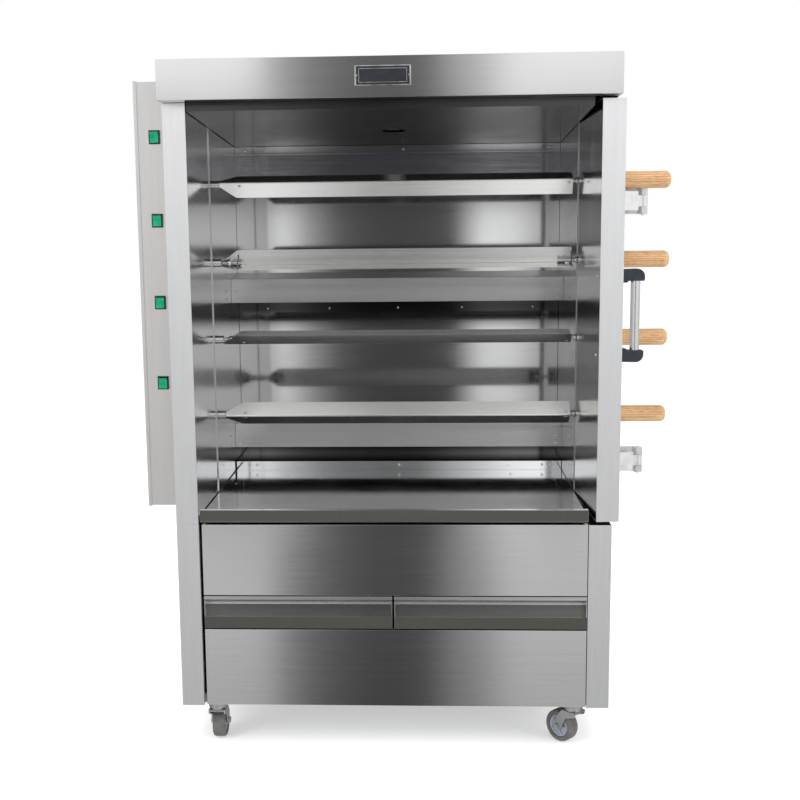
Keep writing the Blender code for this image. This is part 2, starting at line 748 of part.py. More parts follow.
def build_motor_housing(datum, steel, dark, black, green):
    outer_x = MOTOR_OUTER_X + SHEET + GAP
    inner_x = -HALF_WIDTH - GAP
    outer = box((outer_x, MOTOR_FRONT_Y, MOTOR_BOTTOM), (inner_x, MOTOR_BACK_Y, MOTOR_TOP))
    hollow = box(
        (outer_x - 0.01, MOTOR_FRONT_Y + SHEET, MOTOR_BOTTOM + SHEET),
        (inner_x - SHEET, MOTOR_BACK_Y - SHEET, MOTOR_TOP - SHEET),
    )
    sockets = spit_axis_cylinders(SOCKET_CLEARANCE_RADIUS, inner_x - 0.01, inner_x + 0.01)
    centre_x = (MOTOR_OUTER_X - HALF_WIDTH) / 2
    body_half_x = SWITCH_BODY[0] / 2
    body_half_z = SWITCH_BODY[1] / 2
    windows = boxes(*(
        (
            (centre_x - body_half_x - 0.0004, MOTOR_FRONT_Y - 0.01, switch_height(i) - body_half_z - 0.0004),
            (centre_x + body_half_x + 0.0004, MOTOR_FRONT_Y + 0.01, switch_height(i) + body_half_z + 0.0004),
        )
        for i in range(SPIT_COUNT)
    ))
    place("motor_housing", to_mesh("motor_housing", cut(outer, hollow, sockets, windows)), steel, datum)

    over = SHEET + GAP
    cover_outer = box(
        (MOTOR_OUTER_X, MOTOR_FRONT_Y - over, MOTOR_BOTTOM - over),
        (MOTOR_OUTER_X + MOTOR_LIP, MOTOR_BACK_Y + over, MOTOR_TOP + over),
    )
    cover_hollow = box(
        (MOTOR_OUTER_X + SHEET, MOTOR_FRONT_Y - GAP, MOTOR_BOTTOM - GAP),
        (MOTOR_OUTER_X + MOTOR_LIP + 0.01, MOTOR_BACK_Y + GAP, MOTOR_TOP + GAP),
    )
    cover = joined(cut(cover_outer, cover_hollow), gathered(*cover_screw_heads()))
    place("motor_cover", to_mesh("motor_cover", cover), steel, datum)

    gearbox_x = inner_x - SHEET - GAP
    motors = [box(
        (gearbox_x - 0.003, SPIT_Y - 0.030, spit_height(SPIT_COUNT - 1) - 0.060),
        (gearbox_x - 0.0002, SPIT_Y + 0.030, spit_height(0) + 0.060),
    )]
    strip_y = MOTOR_FRONT_Y + 0.0170
    bezels = [box(
        (centre_x - 0.0100, strip_y - 0.0012, switch_height(SPIT_COUNT - 1) - 0.030),
        (centre_x + 0.0100, strip_y, switch_height(0) + 0.030),
    )]
    for i in range(SPIT_COUNT):
        z = spit_height(i)
        gearbox = box((gearbox_x - 0.034, SPIT_Y - 0.045, z - 0.032), (gearbox_x, SPIT_Y + 0.045, z + 0.032))
        can = cylinder(0.022, gearbox_x - 0.080, gearbox_x - 0.033, "X", (SPIT_Y + 0.015, z), 12)
        motors.append(joined(gearbox, can))

        switch_z = switch_height(i)
        front = MOTOR_FRONT_Y - 0.0028
        plate = box(
            (centre_x - BEZEL_WIDTH / 2, front, switch_z - BEZEL_HEIGHT / 2),
            (centre_x + BEZEL_WIDTH / 2, MOTOR_FRONT_Y - GAP, switch_z + BEZEL_HEIGHT / 2),
        )
        body = box(
            (centre_x - body_half_x, MOTOR_FRONT_Y - 0.001, switch_z - body_half_z),
            (centre_x + body_half_x, MOTOR_FRONT_Y + 0.018, switch_z + body_half_z),
        )
        pocket = box(
            (centre_x - ROCKER_WIDTH / 2 - 0.0005, front - 0.01, switch_z - ROCKER_HALF - 0.0006),
            (centre_x + ROCKER_WIDTH / 2 + 0.0005, MOTOR_FRONT_Y + 0.0060, switch_z + ROCKER_HALF + 0.0006),
        )
        bezels.append(cut(joined(plate, body), pocket))

        pivot_y = MOTOR_FRONT_Y - 0.0035
        root_half = ROCKER_HALF * 0.75
        section = [
            (-ROCKER_DEPTH, ROCKER_HALF),
            (-ROCKER_DISH, 0.0),
            (-ROCKER_DEPTH, -ROCKER_HALF),
            (ROCKER_DEPTH, -root_half),
            (ROCKER_DEPTH, root_half),
        ]
        pivot = make_empty(f"rocker_{i + 1}_axis", (centre_x, pivot_y, switch_z), datum)
        rocker = prism(section, "X", -ROCKER_WIDTH / 2, ROCKER_WIDTH / 2)
        tilt = (math.radians(ROCKER_TILT), 0.0, 0.0)
        name = f"rocker_{i + 1}"
        place(name, to_mesh(name, rocker), green, pivot, rotation=tilt)
    place("drive_motors", to_mesh("drive_motors", joined(*motors)), dark, datum)
    place("switch_bezels", to_mesh("switch_bezels", joined(*bezels)), black, datum)


# ---------------------------------------------------------------- spits
def blade_shape():
    """A V-shaped blade with its shaft stubs, turning about the X axis. Its ridge points along +Y."""
    reach = BLADE_LEG * math.sqrt(0.5)
    thickness = 0.0016
    ridge = BLADE_RIDGE_OFFSET
    legs = folded([(ridge - reach, reach), (ridge, 0.0), (ridge - reach, -reach)], thickness)
    vee = prism(legs, "X", BLADE_LEFT - BLADE_TAPER, BLADE_RIGHT)

    # Both legs narrow to the shaft over the taper at the left end.
    far = 0.08
    tapers = []
    for side in (1.0, -1.0):
        outline = [
            (BLADE_LEFT - BLADE_TAPER - 0.001, side * 0.0045),
            (BLADE_LEFT, side * (reach + 0.001)),
            (BLADE_LEFT, side * far),
            (BLADE_LEFT - 0.1, side * far),
            (BLADE_LEFT - 0.1, side * 0.0045),
        ]
        tapers.append(prism(outline, "Y", -far, far))

    web_depth = 0.003
    inset = thickness * 0.5
    web = [(ridge - reach + 0.008, reach - 0.008 - inset), (ridge - inset, 0.0),
           (ridge - reach + 0.008, -reach + 0.008 + inset)]
    left_web = prism(web, "X", BLADE_LEFT, BLADE_LEFT + web_depth)
    right_web = prism(web, "X", BLADE_RIGHT - web_depth, BLADE_RIGHT)

    tang_end = -LINER_X + SOCKET_REACH - 0.018
    half = SPIT_TANG / 2
    tang = box((tang_end, -half, -half), (tang_end + 0.024, half, half))
    left_stub = cylinder(SPIT_SHAFT_RADIUS, tang_end + 0.022, BLADE_LEFT + web_depth / 2, "X", segments=8)
    collar_x = -0.398
    collar = turned(
        [(collar_x - 0.008, 0.0), (collar_x - 0.006, 0.0065), (collar_x, 0.0095),
         (collar_x + 0.006, 0.0065), (collar_x + 0.008, 0.0)], "X", segments=8,
    )
    right_stub = cylinder(
        SPIT_SHAFT_RADIUS, BLADE_RIGHT - web_depth / 2, HANDLE_START + 0.060, "X", segments=8
    )
    journal = cylinder(JOURNAL_RADIUS, LINER_X - 0.004, HALF_WIDTH + 0.012, "X", segments=10)
    return joined(cut(vee, *tapers), left_web, right_web, left_stub, tang, collar, right_stub, journal)


def handle_shape():
    """A turned grip with a blind bore for the spit's shaft."""
    bore = SPIT_SHAFT_RADIUS + 0.0004
    round_end = arc((HANDLE_END - 0.010, HANDLE_RADIUS - 0.010), 0.010, 90.0, 30.0, 2)
    profile = [
        (HANDLE_START + 0.062, 0.0),
        (HANDLE_START + 0.062, bore),
        (HANDLE_START, bore),
        (HANDLE_START, 0.0150),
        (HANDLE_START + 0.005, 0.0185),
        *round_end,
        (HANDLE_END, 0.0),
    ]
    return turned(profile, "X", segments=16)


def socket_shape():
    """A drive socket with a square mouth for the spit's tang."""
    start = -HALF_WIDTH - GAP - SHEET * 0.5
    end = -LINER_X + SOCKET_REACH
    half = SOCKET_HOLE / 2
    mouth = box((end - 0.024, -half, -half), (end + 0.01, half, half))
    return cut(cylinder(SOCKET_RADIUS, start, end, "X", segments=12), mouth)


def build_spits(datum, steel, wood):
    blade = to_mesh("spit_blade", blade_shape())
    handle = to_mesh("spit_handle", handle_shape())
    socket = to_mesh("drive_socket", socket_shape())
    for i, roll in enumerate(SPIT_ROLLS):
        axis = make_empty(f"spit_{i + 1}_axis", (0.0, SPIT_Y, spit_height(i)), datum)
        turn = (math.radians(roll), 0.0, 0.0)
        place(f"spit_blade_{i + 1}", blade, steel, axis, rotation=turn)
        place(f"spit_handle_{i + 1}", handle, wood, axis, rotation=turn)
        place(f"drive_socket_{i + 1}", socket, steel, axis, rotation=turn)


# ---------------------------------------------------------------- side door
def build_door(datum, steel, liner, black, casting):
    """The front half of the right wall, hung on two outboard hinges and standing slightly open."""
    pivot = make_empty(
        "side_door_axis", (DOOR_PIVOT_X, DOOR_PIVOT_Y, 0.0), datum, (0.0, 0.0, math.radians(DOOR_AJAR))
    )
    to_pivot = Matrix.Translation((-DOOR_PIVOT_X, -DOOR_PIVOT_Y, 0.0))

    def hang(name, shape, material):
        mesh = to_mesh(name, shape)
        mesh.transform(to_pivot)
        place(name, mesh, material, pivot)

    outer = box((LINER_X, 0.0, DOOR_BOTTOM), (HALF_WIDTH, DOOR_BACK_Y, DOOR_TOP))
    hollow = box(
        (LINER_X - 0.01, SHEET, DOOR_BOTTOM + SHEET),
        (HALF_WIDTH - SHEET, DOOR_BACK_Y - SHEET, DOOR_TOP - SHEET),
    )
    # The front edge of the shell is the full width of the wall; the liner stands behind it.
    notches = spit_axis_cylinders(NOTCH_RADIUS, LINER_X - 0.01, HALF_WIDTH + 0.01)
    hang("side_door_shell", cut(outer, hollow, notches), steel)

    panel = box(
        (LINER_X, SHEET + GAP, DOOR_BOTTOM + SHEET + GAP),
        (LINER_X + SHEET, DOOR_BACK_Y - SHEET - GAP, DOOR_TOP - SHEET - GAP),
    )
    notches = spit_axis_cylinders(NOTCH_RADIUS, LINER_X - 0.01, LINER_X + 0.01)
    hang("side_door_liner", cut(panel, notches), liner)

    face = HALF_WIDTH + GAP
    half_width = 0.0125
    corner = 0.017
    half = PULL_LENGTH / 2
    ends = []
    for side in (1.0, -1.0):
        outer_corner = arc((face + PULL_REACH - corner, half - corner), corner, 90.0, 0.0, 4)
        outline = [
            (face, half - 0.0010),
            *outer_corner,
            (face + PULL_REACH, half - 0.0250),
            (face + 0.0180, half - 0.0250),
            (face + 0.0060, half - 0.0300),
            (face, half - 0.0300),
        ]
        outline = [(x, PULL_Z + side * z) for x, z in outline]
        block = prism(outline, "Y", PULL_Y - half_width, PULL_Y + half_width)
        ends.append(block)
    grip_half = half - 0.0154
    grip = cylinder(
        PULL_BAR_RADIUS, PULL_Z - grip_half, PULL_Z + grip_half, "Z", (face + PULL_BAR_OFFSET, PULL_Y), 16
    )
    hang("door_pull_handle", joined(grip, *ends), black)

    pin_at = (DOOR_PIVOT_X, DOOR_PIVOT_Y)
    neck_end = DOOR_PIVOT_X - KNUCKLE_RADIUS - 0.0020
    for level, z in zip(("upper", "lower"), HINGE_HEIGHTS):
        arm_foot = box((face, 0.2220, z - 0.0240), (face + 0.005, 0.2690, z + 0.0240))
        arm_plan = [
            (face + 0.003, 0.2330),
            (face + 0.030, 0.2520),
            (DOOR_PIVOT_X - 0.004, 0.2905),
            (DOOR_PIVOT_X + 0.003, 0.2915),
            (DOOR_PIVOT_X + 0.001, 0.3000),
            (DOOR_PIVOT_X - 0.010, 0.3000),
            (face + 0.030, 0.2620),
            (face + 0.003, 0.2600),
        ]
        web_plan = [
            (face + 0.003, 0.2380),
            (face + 0.030, 0.2530),
            (neck_end - 0.003, 0.2810),
            (neck_end - 0.003, 0.2880),
            (face + 0.030, 0.2610),
            (face + 0.003, 0.2560),
        ]
        arm_neck = prism(arm_plan, "Z", z - HINGE_MIDDLE_HALF + 0.0004, z + HINGE_MIDDLE_HALF - 0.0004)
        arm_web = prism(web_plan, "Z", z - 0.0225, z + 0.0225)
        arm_knuckle = cylinder(
            KNUCKLE_RADIUS, z - HINGE_MIDDLE_HALF, z + HINGE_MIDDLE_HALF, "Z", pin_at, 16
        )
        arm_bore = cylinder(HINGE_BORE_RADIUS, z - 0.04, z + 0.04, "Z", pin_at, 16)
        arm = cut(joined(arm_foot, arm_neck, arm_web, arm_knuckle), arm_bore)
        hang(f"hinge_arm_{level}", arm, casting)

        foot = box((face, 0.2860, z - 0.0240), (face + 0.005, 0.3360, z + 0.0240))
        neck_plan = [
            (face + 0.003, 0.3060),
            (DOOR_PIVOT_X - 0.008, 0.3060),
            (DOOR_PIVOT_X - 0.002, 0.3090),
            (DOOR_PIVOT_X - 0.008, 0.3150),
            (face + 0.003, 0.3220),
        ]
        neck_middle = [
            (face + 0.003, 0.3060),
            (neck_end - 0.012, 0.3060),
            (neck_end - 0.012, 0.3170),
            (face + 0.003, 0.3220),
        ]
        ears = []
        for low, high in (
            (HINGE_MIDDLE_HALF + 0.0005, HINGE_HALF_HEIGHT),
            (-HINGE_HALF_HEIGHT, -HINGE_MIDDLE_HALF - 0.0005),
        ):
            ears.append(prism(neck_plan, "Z", z + low, z + high))
            ears.append(cylinder(KNUCKLE_RADIUS + 0.0005, z + low, z + high, "Z", pin_at, 8, 22.5))
        middle = prism(neck_middle, "Z", z - 0.0260, z + 0.0260)
        pin = cylinder(HINGE_PIN_RADIUS, z - HINGE_HALF_HEIGHT - 0.003, z + HINGE_HALF_HEIGHT + 0.003,
                       "Z", pin_at, 16)
        name = f"hinge_bracket_{level}"
        place(name, to_mesh(name, joined(foot, middle, *ears, pin)), casting, datum)


# ---------------------------------------------------------------- casters
def fork_shape():
    """A swivel fork trailing along +Y, with its axle. The swivel axis is the Z axis."""
    inner = WHEEL_WIDTH / 2 + 0.0015
    outer = inner + 0.0030
    crown_bottom = 0.0778
    crown_top = 0.0832
    cheek = [
        (-0.0190, crown_top - 0.0006),
        (0.0190, crown_top - 0.0006),
        (0.0300, 0.0680),
        (0.0430, 0.0420),
        (0.0420, 0.0310),
        (0.0330, 0.0270),
        (0.0250, 0.0310),
        (0.0080, 0.0640),
        (-0.0170, 0.0730),
    ]
    left = prism(cheek, "X", -outer, -inner)
    right = prism(cheek, "X", inner, outer)
    crown = box((-inner - 0.0010, -0.0170, crown_bottom), (inner + 0.0010, 0.0170, crown_top - 0.0006))
    race = cylinder(0.0195, crown_bottom + 0.0004, crown_top, "Z", segments=14)
    axle_at = (CASTER_TRAIL, WHEEL_RADIUS)
    axle = cylinder(AXLE_RADIUS, -outer - 0.0040, outer + 0.0040, "X", axle_at, 10)
    heads = gathered(
        cylinder(0.0075, -outer - 0.0035, -outer + 0.0005, "X", axle_at, 6),
        cylinder(0.0075, outer - 0.0005, outer + 0.0035, "X", axle_at, 6),
    )
    return joined(left, right, crown, race, axle, heads)


def wheel_shape():
    """A tyre with rounded shoulders on a narrower hub, bored for the axle, about the X axis."""
    half = WHEEL_WIDTH / 2
    hub_half = half - 0.0030
    bore = AXLE_RADIUS + 0.0004
    profile = [
        (-half + 0.0010, bore),
        (-half + 0.0010, 0.0100),
        (-hub_half, 0.0115),
        (-hub_half, 0.0255),
        (-half, 0.0275),
        (-half, 0.0340),
        (-half + 0.0050, WHEEL_RADIUS),
        (half - 0.0050, WHEEL_RADIUS),
        (half, 0.0340),
        (half, 0.0275),
        (hub_half, 0.0255),
        (hub_half, 0.0115),
        (half - 0.0010, 0.0100),
        (half - 0.0010, bore),
    ]
    return turned(profile, "X", segments=20, ring=True)


def build_casters(datum, zinc, tyre):
    fork = to_mesh("caster_fork", fork_shape())
    wheel = to_mesh("caster_wheel", wheel_shape())
    for i, (x, y) in enumerate(caster_places()):
        heading = (0.0, 0.0, math.radians(CASTER_HEADINGS[i]))
        swivel = make_empty(f"caster_{i + 1}_swivel", (x, y, 0.0), datum, heading)
        place(f"caster_fork_{i + 1}", fork, zinc, swivel)
        spin = make_empty(f"caster_{i + 1}_spin", (0.0, CASTER_TRAIL, WHEEL_RADIUS), swivel)
        place(f"caster_wheel_{i + 1}", wheel, tyre, spin)


def main():
    clear_scene()
    steel = make_material("brushed_steel", (0.62, 0.62, 0.63), 0.34, 1.0)
    liner = make_material("liner_steel", (0.50, 0.50, 0.50), 0.22, 1.0)
    zinc = make_material("zinc_plate", (0.55, 0.56, 0.58), 0.45, 1.0)
    casting = make_material("cast_light_metal", (0.72, 0.73, 0.75), 0.48, 0.8)
    dark = make_material("dark_metal", (0.12, 0.12, 0.13), 0.55, 0.6)
    black = make_material("black_plastic", (0.02, 0.02, 0.022), 0.42, 0.0)
    green = make_material("green_plastic", (0.0, 0.28, 0.10), 0.30, 0.0)
    wood = make_material("beech", (0.68, 0.42, 0.18), 0.50, 0.0)
    navy = make_material("dark_plate", (0.02, 0.025, 0.05), 0.35, 0.3)
    tyre = make_material("grey_tyre", (0.23, 0.22, 0.20), 0.75, 0.0)

    datum = make_empty("cabinet_datum", DATUM)
    build_base(datum, steel, zinc)
    build_fascias(datum, steel)
    build_drawers(datum, steel)
    build_walls(datum, steel, liner)
    build_back(datum, steel, liner)
    build_top(datum, steel, liner, navy, zinc)
    build_pan(datum, liner)
    build_burners(datum, liner, dark)
    build_taps(datum, black)
    build_motor_housing(datum, steel, dark, black, green)
    build_spits(datum, steel, wood)
    build_door(datum, steel, liner, black, casting)
    build_casters(datum, zinc, tyre)
    bpy.context.view_layer.update()


main()
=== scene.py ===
import json
import math

import bmesh
import bpy
from mathutils import Matrix, Vector

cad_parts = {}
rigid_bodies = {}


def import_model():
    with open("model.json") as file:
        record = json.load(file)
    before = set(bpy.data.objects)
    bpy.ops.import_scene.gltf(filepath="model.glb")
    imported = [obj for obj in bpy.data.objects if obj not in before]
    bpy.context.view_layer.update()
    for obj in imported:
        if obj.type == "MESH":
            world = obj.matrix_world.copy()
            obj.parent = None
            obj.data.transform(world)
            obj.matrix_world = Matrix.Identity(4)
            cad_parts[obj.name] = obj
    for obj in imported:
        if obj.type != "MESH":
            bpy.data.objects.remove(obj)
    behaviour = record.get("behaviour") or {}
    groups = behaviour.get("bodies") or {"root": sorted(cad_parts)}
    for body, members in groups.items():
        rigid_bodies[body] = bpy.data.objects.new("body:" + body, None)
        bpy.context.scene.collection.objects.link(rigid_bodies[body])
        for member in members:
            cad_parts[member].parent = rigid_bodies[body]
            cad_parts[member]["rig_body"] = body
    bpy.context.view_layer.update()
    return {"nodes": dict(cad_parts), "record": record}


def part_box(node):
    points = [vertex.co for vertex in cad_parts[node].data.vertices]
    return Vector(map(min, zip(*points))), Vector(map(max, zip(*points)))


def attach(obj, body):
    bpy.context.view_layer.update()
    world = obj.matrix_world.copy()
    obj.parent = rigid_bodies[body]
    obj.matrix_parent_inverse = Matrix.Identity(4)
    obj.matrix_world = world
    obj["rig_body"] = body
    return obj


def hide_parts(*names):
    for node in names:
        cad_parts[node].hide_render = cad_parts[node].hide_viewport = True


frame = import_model()

# ---- places read from the frame
JOINTS = {joint["name"]: joint for joint in frame["record"]["behaviour"]["joints"]}
SPITS = range(1, 5)
BURNERS = range(1, 3)
CASTERS = range(1, 5)
LEVELS = ("upper", "lower")


def low(node):
    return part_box(node)[0]


def high(node):
    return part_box(node)[1]


def pivot(joint):
    return Vector(JOINTS[joint]["pos_m"])


HOOD_LOW, HOOD_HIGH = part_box("hood")
CENTRE_X = (HOOD_LOW.x + HOOD_HIGH.x) / 2
POST_FRONT = low("base_left_side").y
LINER_LEFT = high("left_inner_liner").x
LINER_RIGHT = low("right_inner_liner").x
REST_YAW = 2.65                    # degrees that the side door stands open at rest


# ---- shape helpers
def rotation(degrees, axis):
    return Matrix.Rotation(math.radians(degrees), 4, axis)


def block(start, end, radius=0.0, segments=2):
    """A block between two corners, its edges rounded to a radius."""
    shape = bmesh.new()
    size = Vector(end) - Vector(start)
    matrix = Matrix.Translation((Vector(start) + Vector(end)) / 2) @ Matrix.Diagonal((*size, 1.0))
    bmesh.ops.create_cube(shape, size=1.0, matrix=matrix)
    if radius:
        bmesh.ops.bevel(shape, geom=list(shape.edges), offset=radius, segments=segments, affect="EDGES",
                        profile=0.5, clamp_overlap=True)
    return shape


def prism(outline, axis, start, end):
    """Extrudes a closed outline along an axis. The outline lists the other two coordinates in order."""
    shape = bmesh.new()
    order = {"X": (2, 0, 1), "Y": (0, 2, 1), "Z": (0, 1, 2)}[axis]

    def corner(pair, along):
        values = (pair[0], pair[1], along)
        return [values[i] for i in order]

    near = [shape.verts.new(corner(pair, start)) for pair in outline]
    far = [shape.verts.new(corner(pair, end)) for pair in outline]
    shape.faces.new(near)
    shape.faces.new(list(reversed(far)))
    count = len(outline)
    for i in range(count):
        j = (i + 1) % count
        shape.faces.new((near[j], near[i], far[i], far[j]))
    bmesh.ops.recalc_face_normals(shape, faces=shape.faces)
    return shape


def lathe(profile, axis="Z", centre=(0.0, 0.0, 0.0), segments=48, ring=False):
    """Turns (distance along the axis, radius) points about an axis through the centre."""
    turn = {
        "X": rotation(90.0, "Y"),
        "Y": rotation(-90.0, "X"),
        "Z": Matrix.Identity(4),
    }[axis]
    shape = bmesh.new()
    rings = []
    for along, radius in profile:
        if radius == 0.0:
            rings.append([shape.verts.new((0.0, 0.0, along))] * segments)
            continue
        angles = [2 * math.pi * i / segments for i in range(segments)]
        rings.append([shape.verts.new((radius * math.cos(a), radius * math.sin(a), along)) for a in angles])
    bridge(shape, rings, ring)
    bmesh.ops.recalc_face_normals(shape, faces=shape.faces)
    shape.transform(Matrix.Translation(centre) @ turn)
    return shape


def bridge(shape, rings, closed=False):
    """Joins rings of equal length with faces, leaving out corners that coincide."""
    pairs = list(zip(rings, rings[1:]))
    if closed:
        pairs.append((rings[-1], rings[0]))
    for first, second in pairs:
        count = len(first)
        for i in range(count):
            j = (i + 1) % count
            corners = []
            for vert in (first[i], first[j], second[j], second[i]):
                if vert not in corners:
                    corners.append(vert)
            if len(corners) > 2:
                shape.faces.new(corners)


def arc(centre, radius, start, end, steps):
    """Points on a circle's arc, angles in degrees."""
    turns = [math.radians(start + (end - start) * i / steps) for i in range(steps + 1)]
    return [(centre[0] + radius * math.cos(a), centre[1] + radius * math.sin(a)) for a in turns]


def bar(start, end, radius):
    """A plain solid rod as a profile for the lathe."""
    return [(start, 0.0), (start, radius), (end, radius), (end, 0.0)]


def mirrored(profile):
    """A profile's other half, in reverse order, for the far side of zero."""
    return [(-along, radius) for along, radius in reversed(profile)]


def bead(middle, half_length, radius, step):
    """Half an ellipse as a profile for the lathe, a point at every step of degrees."""
    turns = [math.radians(a) for a in range(step, 180, step)]
    return [
        (middle - half_length, 0.0),
        *[(middle - half_length * math.cos(turn), radius * math.sin(turn)) for turn in turns],
        (middle + half_length, 0.0),
    ]


def slab(centre, half_x, half_z, start_y, end_y, radius=0.0, segments=2):
    """A block centred on a point in X and Z, between two depths."""
    start = (centre.x - half_x, start_y, centre.z - half_z)
    end = (centre.x + half_x, end_y, centre.z + half_z)
    return block(start, end, radius, segments)


def gathered(*shapes):
    """Puts several shapes into one, and frees them."""
    whole = bmesh.new()
    for shape in shapes:
        mesh = bpy.data.meshes.new("passing")
        shape.to_mesh(mesh)
        shape.free()
        whole.from_mesh(mesh)
        bpy.data.meshes.remove(mesh)
    return whole


def moved(shape, matrix):
    shape.transform(matrix)
    return shape


def rounded(shape, radius, segments=2, angle=28.0):
    """Rounds the edges that turn by more than an angle in degrees."""
    sharp = [e for e in shape.edges if e.is_manifold and e.calc_face_angle(0.0) > math.radians(angle)]
    bmesh.ops.bevel(shape, geom=sharp, offset=radius, segments=segments, affect="EDGES", profile=0.5,
                    clamp_overlap=True)
    return shape


def in_scene(name, data):
    """An object that holds some data, linked into the scene."""
    made = bpy.data.objects.new(name, data)
    bpy.context.scene.collection.objects.link(made)
    return made


def cut(base, *cutters):
    """The base shape with the cutters taken away."""
    objects = []
    for shape in (base, *cutters):
        mesh = bpy.data.meshes.new("cutting")
        bmesh.ops.recalc_face_normals(shape, faces=shape.faces)
        shape.to_mesh(mesh)
        shape.free()
        objects.append(in_scene("cutting", mesh))
    for helper in objects[1:]:
        modifier = objects[0].modifiers.new("cut", "BOOLEAN")
        modifier.operation = "DIFFERENCE"
        modifier.solver = "EXACT"
        modifier.object = helper
    evaluated = objects[0].evaluated_get(bpy.context.evaluated_depsgraph_get())
    mesh = bpy.data.meshes.new_from_object(evaluated)
    shape = bmesh.new()
    shape.from_mesh(mesh)
    bpy.data.meshes.remove(mesh)
    for made in objects:
        bpy.data.objects.remove(made, do_unlink=True)
    return shape


def piece(name, shape, material, body, stands_for=(), smooth=32.0):
    """Adds one visible piece that rides on a body."""
    mesh = bpy.data.meshes.new(name)
    shape.to_mesh(mesh)
    shape.free()
    mesh.materials.append(material)
    mesh.shade_smooth()
    mesh.set_sharp_from_angle(angle=math.radians(smooth))
    made = in_scene(name, mesh)
    flat = made.modifiers.new("flat_faces", "WEIGHTED_NORMAL")
    flat.weight = 100
    flat.keep_sharp = True
    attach(made, body)
    if stands_for:
        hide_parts(*stands_for)
    return made


def node_shape(node):
    """A CAD node's solid, its flat faces whole again."""
    shape = bmesh.new()
    shape.from_mesh(frame["nodes"][node].data)
    bmesh.ops.remove_doubles(shape, verts=shape.verts, dist=1e-6)
    bmesh.ops.dissolve_limit(shape, angle_limit=math.radians(0.5), verts=shape.verts, edges=shape.edges)
    return shape


def stand_in(node, shape, material, smooth=32.0):
    """Adds the visible piece that stands for a CAD node, on the node's own body."""
    return piece("fine_" + node, shape, material, frame["nodes"][node]["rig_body"], (node,), smooth)


def softened(node, material, radius=0.0006, segments=2):
    """Stands for a CAD node with the same solid, its folds and cut edges rounded."""
    return stand_in(node, rounded(node_shape(node), radius, segments), material)


# ---- materials
def shader_of(name):
    made = bpy.data.materials.new(name)
    made.use_nodes = True
    tree = made.node_tree
    return made, tree, tree.nodes["Principled BSDF"]


def set_inputs(node, **values):
    """Sets some of a shader node's inputs. An underscore stands for a space in an input's name."""
    for name, value in values.items():
        node.inputs[name.replace("_", " ")].default_value = value


def added(tree, kind, **values):
    """A new shader node with some of its inputs set."""
    node = tree.nodes.new("ShaderNode" + kind)
    set_inputs(node, **values)
    return node


def noise(tree, scale, detail=2.0, rough=0.5, stretch=(1.0, 1.0, 1.0), offset=(0.0, 0.0, 0.0)):
    """A noise value in the object's own space, in metres, stretched along its axes."""
    where = tree.nodes.new("ShaderNodeTexCoord")
    mapping = added(tree, "Mapping", Scale=stretch, Location=offset)
    tree.links.new(where.outputs["Object"], mapping.inputs["Vector"])
    made = added(tree, "TexNoise", Scale=scale, Detail=detail, Roughness=rough)
    tree.links.new(mapping.outputs["Vector"], made.inputs["Vector"])
    return made.outputs["Fac"]


def spread(tree, value, low_value, high_value, start=0.3, end=0.7):
    """Maps a noise value to a range."""
    node = added(tree, "MapRange", From_Min=start, From_Max=end, To_Min=low_value, To_Max=high_value)
    tree.links.new(value, node.inputs["Value"])
    return node.outputs["Result"]


def ramp(tree, value, *stops):
    """A colour that follows a value through (place, colour) stops."""
    node = tree.nodes.new("ShaderNodeValToRGB")
    elements = node.color_ramp.elements
    while len(elements) < len(stops):
        elements.new(0.5)
    for element, (place, colour) in zip(elements, stops):
        element.position = place
        element.color = (*colour, 1.0)
    tree.links.new(value, node.inputs["Fac"])
    return node.outputs["Color"]


def grey_ramp(tree, value, stops, start=0.0, span=1.0):
    """A grey through (place, grey) stops, for a value that runs from 0 to 1 as the place crosses its span."""
    return ramp(tree, value, *[((place - start) / span, (grey, grey, grey)) for place, grey in stops])


def multiplied(tree, first, second):
    """Two colours multiplied together."""
    mix = added(tree, "Mix", Factor=1.0)
    mix.data_type = "RGBA"
    mix.blend_type = "MULTIPLY"
    tree.links.new(first, mix.inputs["A"])
    tree.links.new(second, mix.inputs["B"])
    return mix.outputs["Result"]


def combine(tree, operation, first, second):
    """A sum, product or other operation on two values, each a socket or a number."""
    node = tree.nodes.new("ShaderNodeMath")
    node.operation = operation
    for socket, value in zip(node.inputs, (first, second)):
        if isinstance(value, (int, float)):
            socket.default_value = value
        else:
            tree.links.new(value, socket)
    return node.outputs[0]


def bump(tree, shader, height, distance, strength=1.0):
    node = added(tree, "Bump", Distance=distance, Strength=strength)
    tree.links.new(height, node.inputs["Height"])
    tree.links.new(node.outputs["Normal"], shader.inputs["Normal"])


# How the noise is stretched for lines along each axis. The shader's tangent turns about the same axis.
GRAINS = {"X": (0.02, 1.0, 1.0), "Y": (1.0, 0.02, 1.0), "Z": (1.0, 1.0, 0.02)}


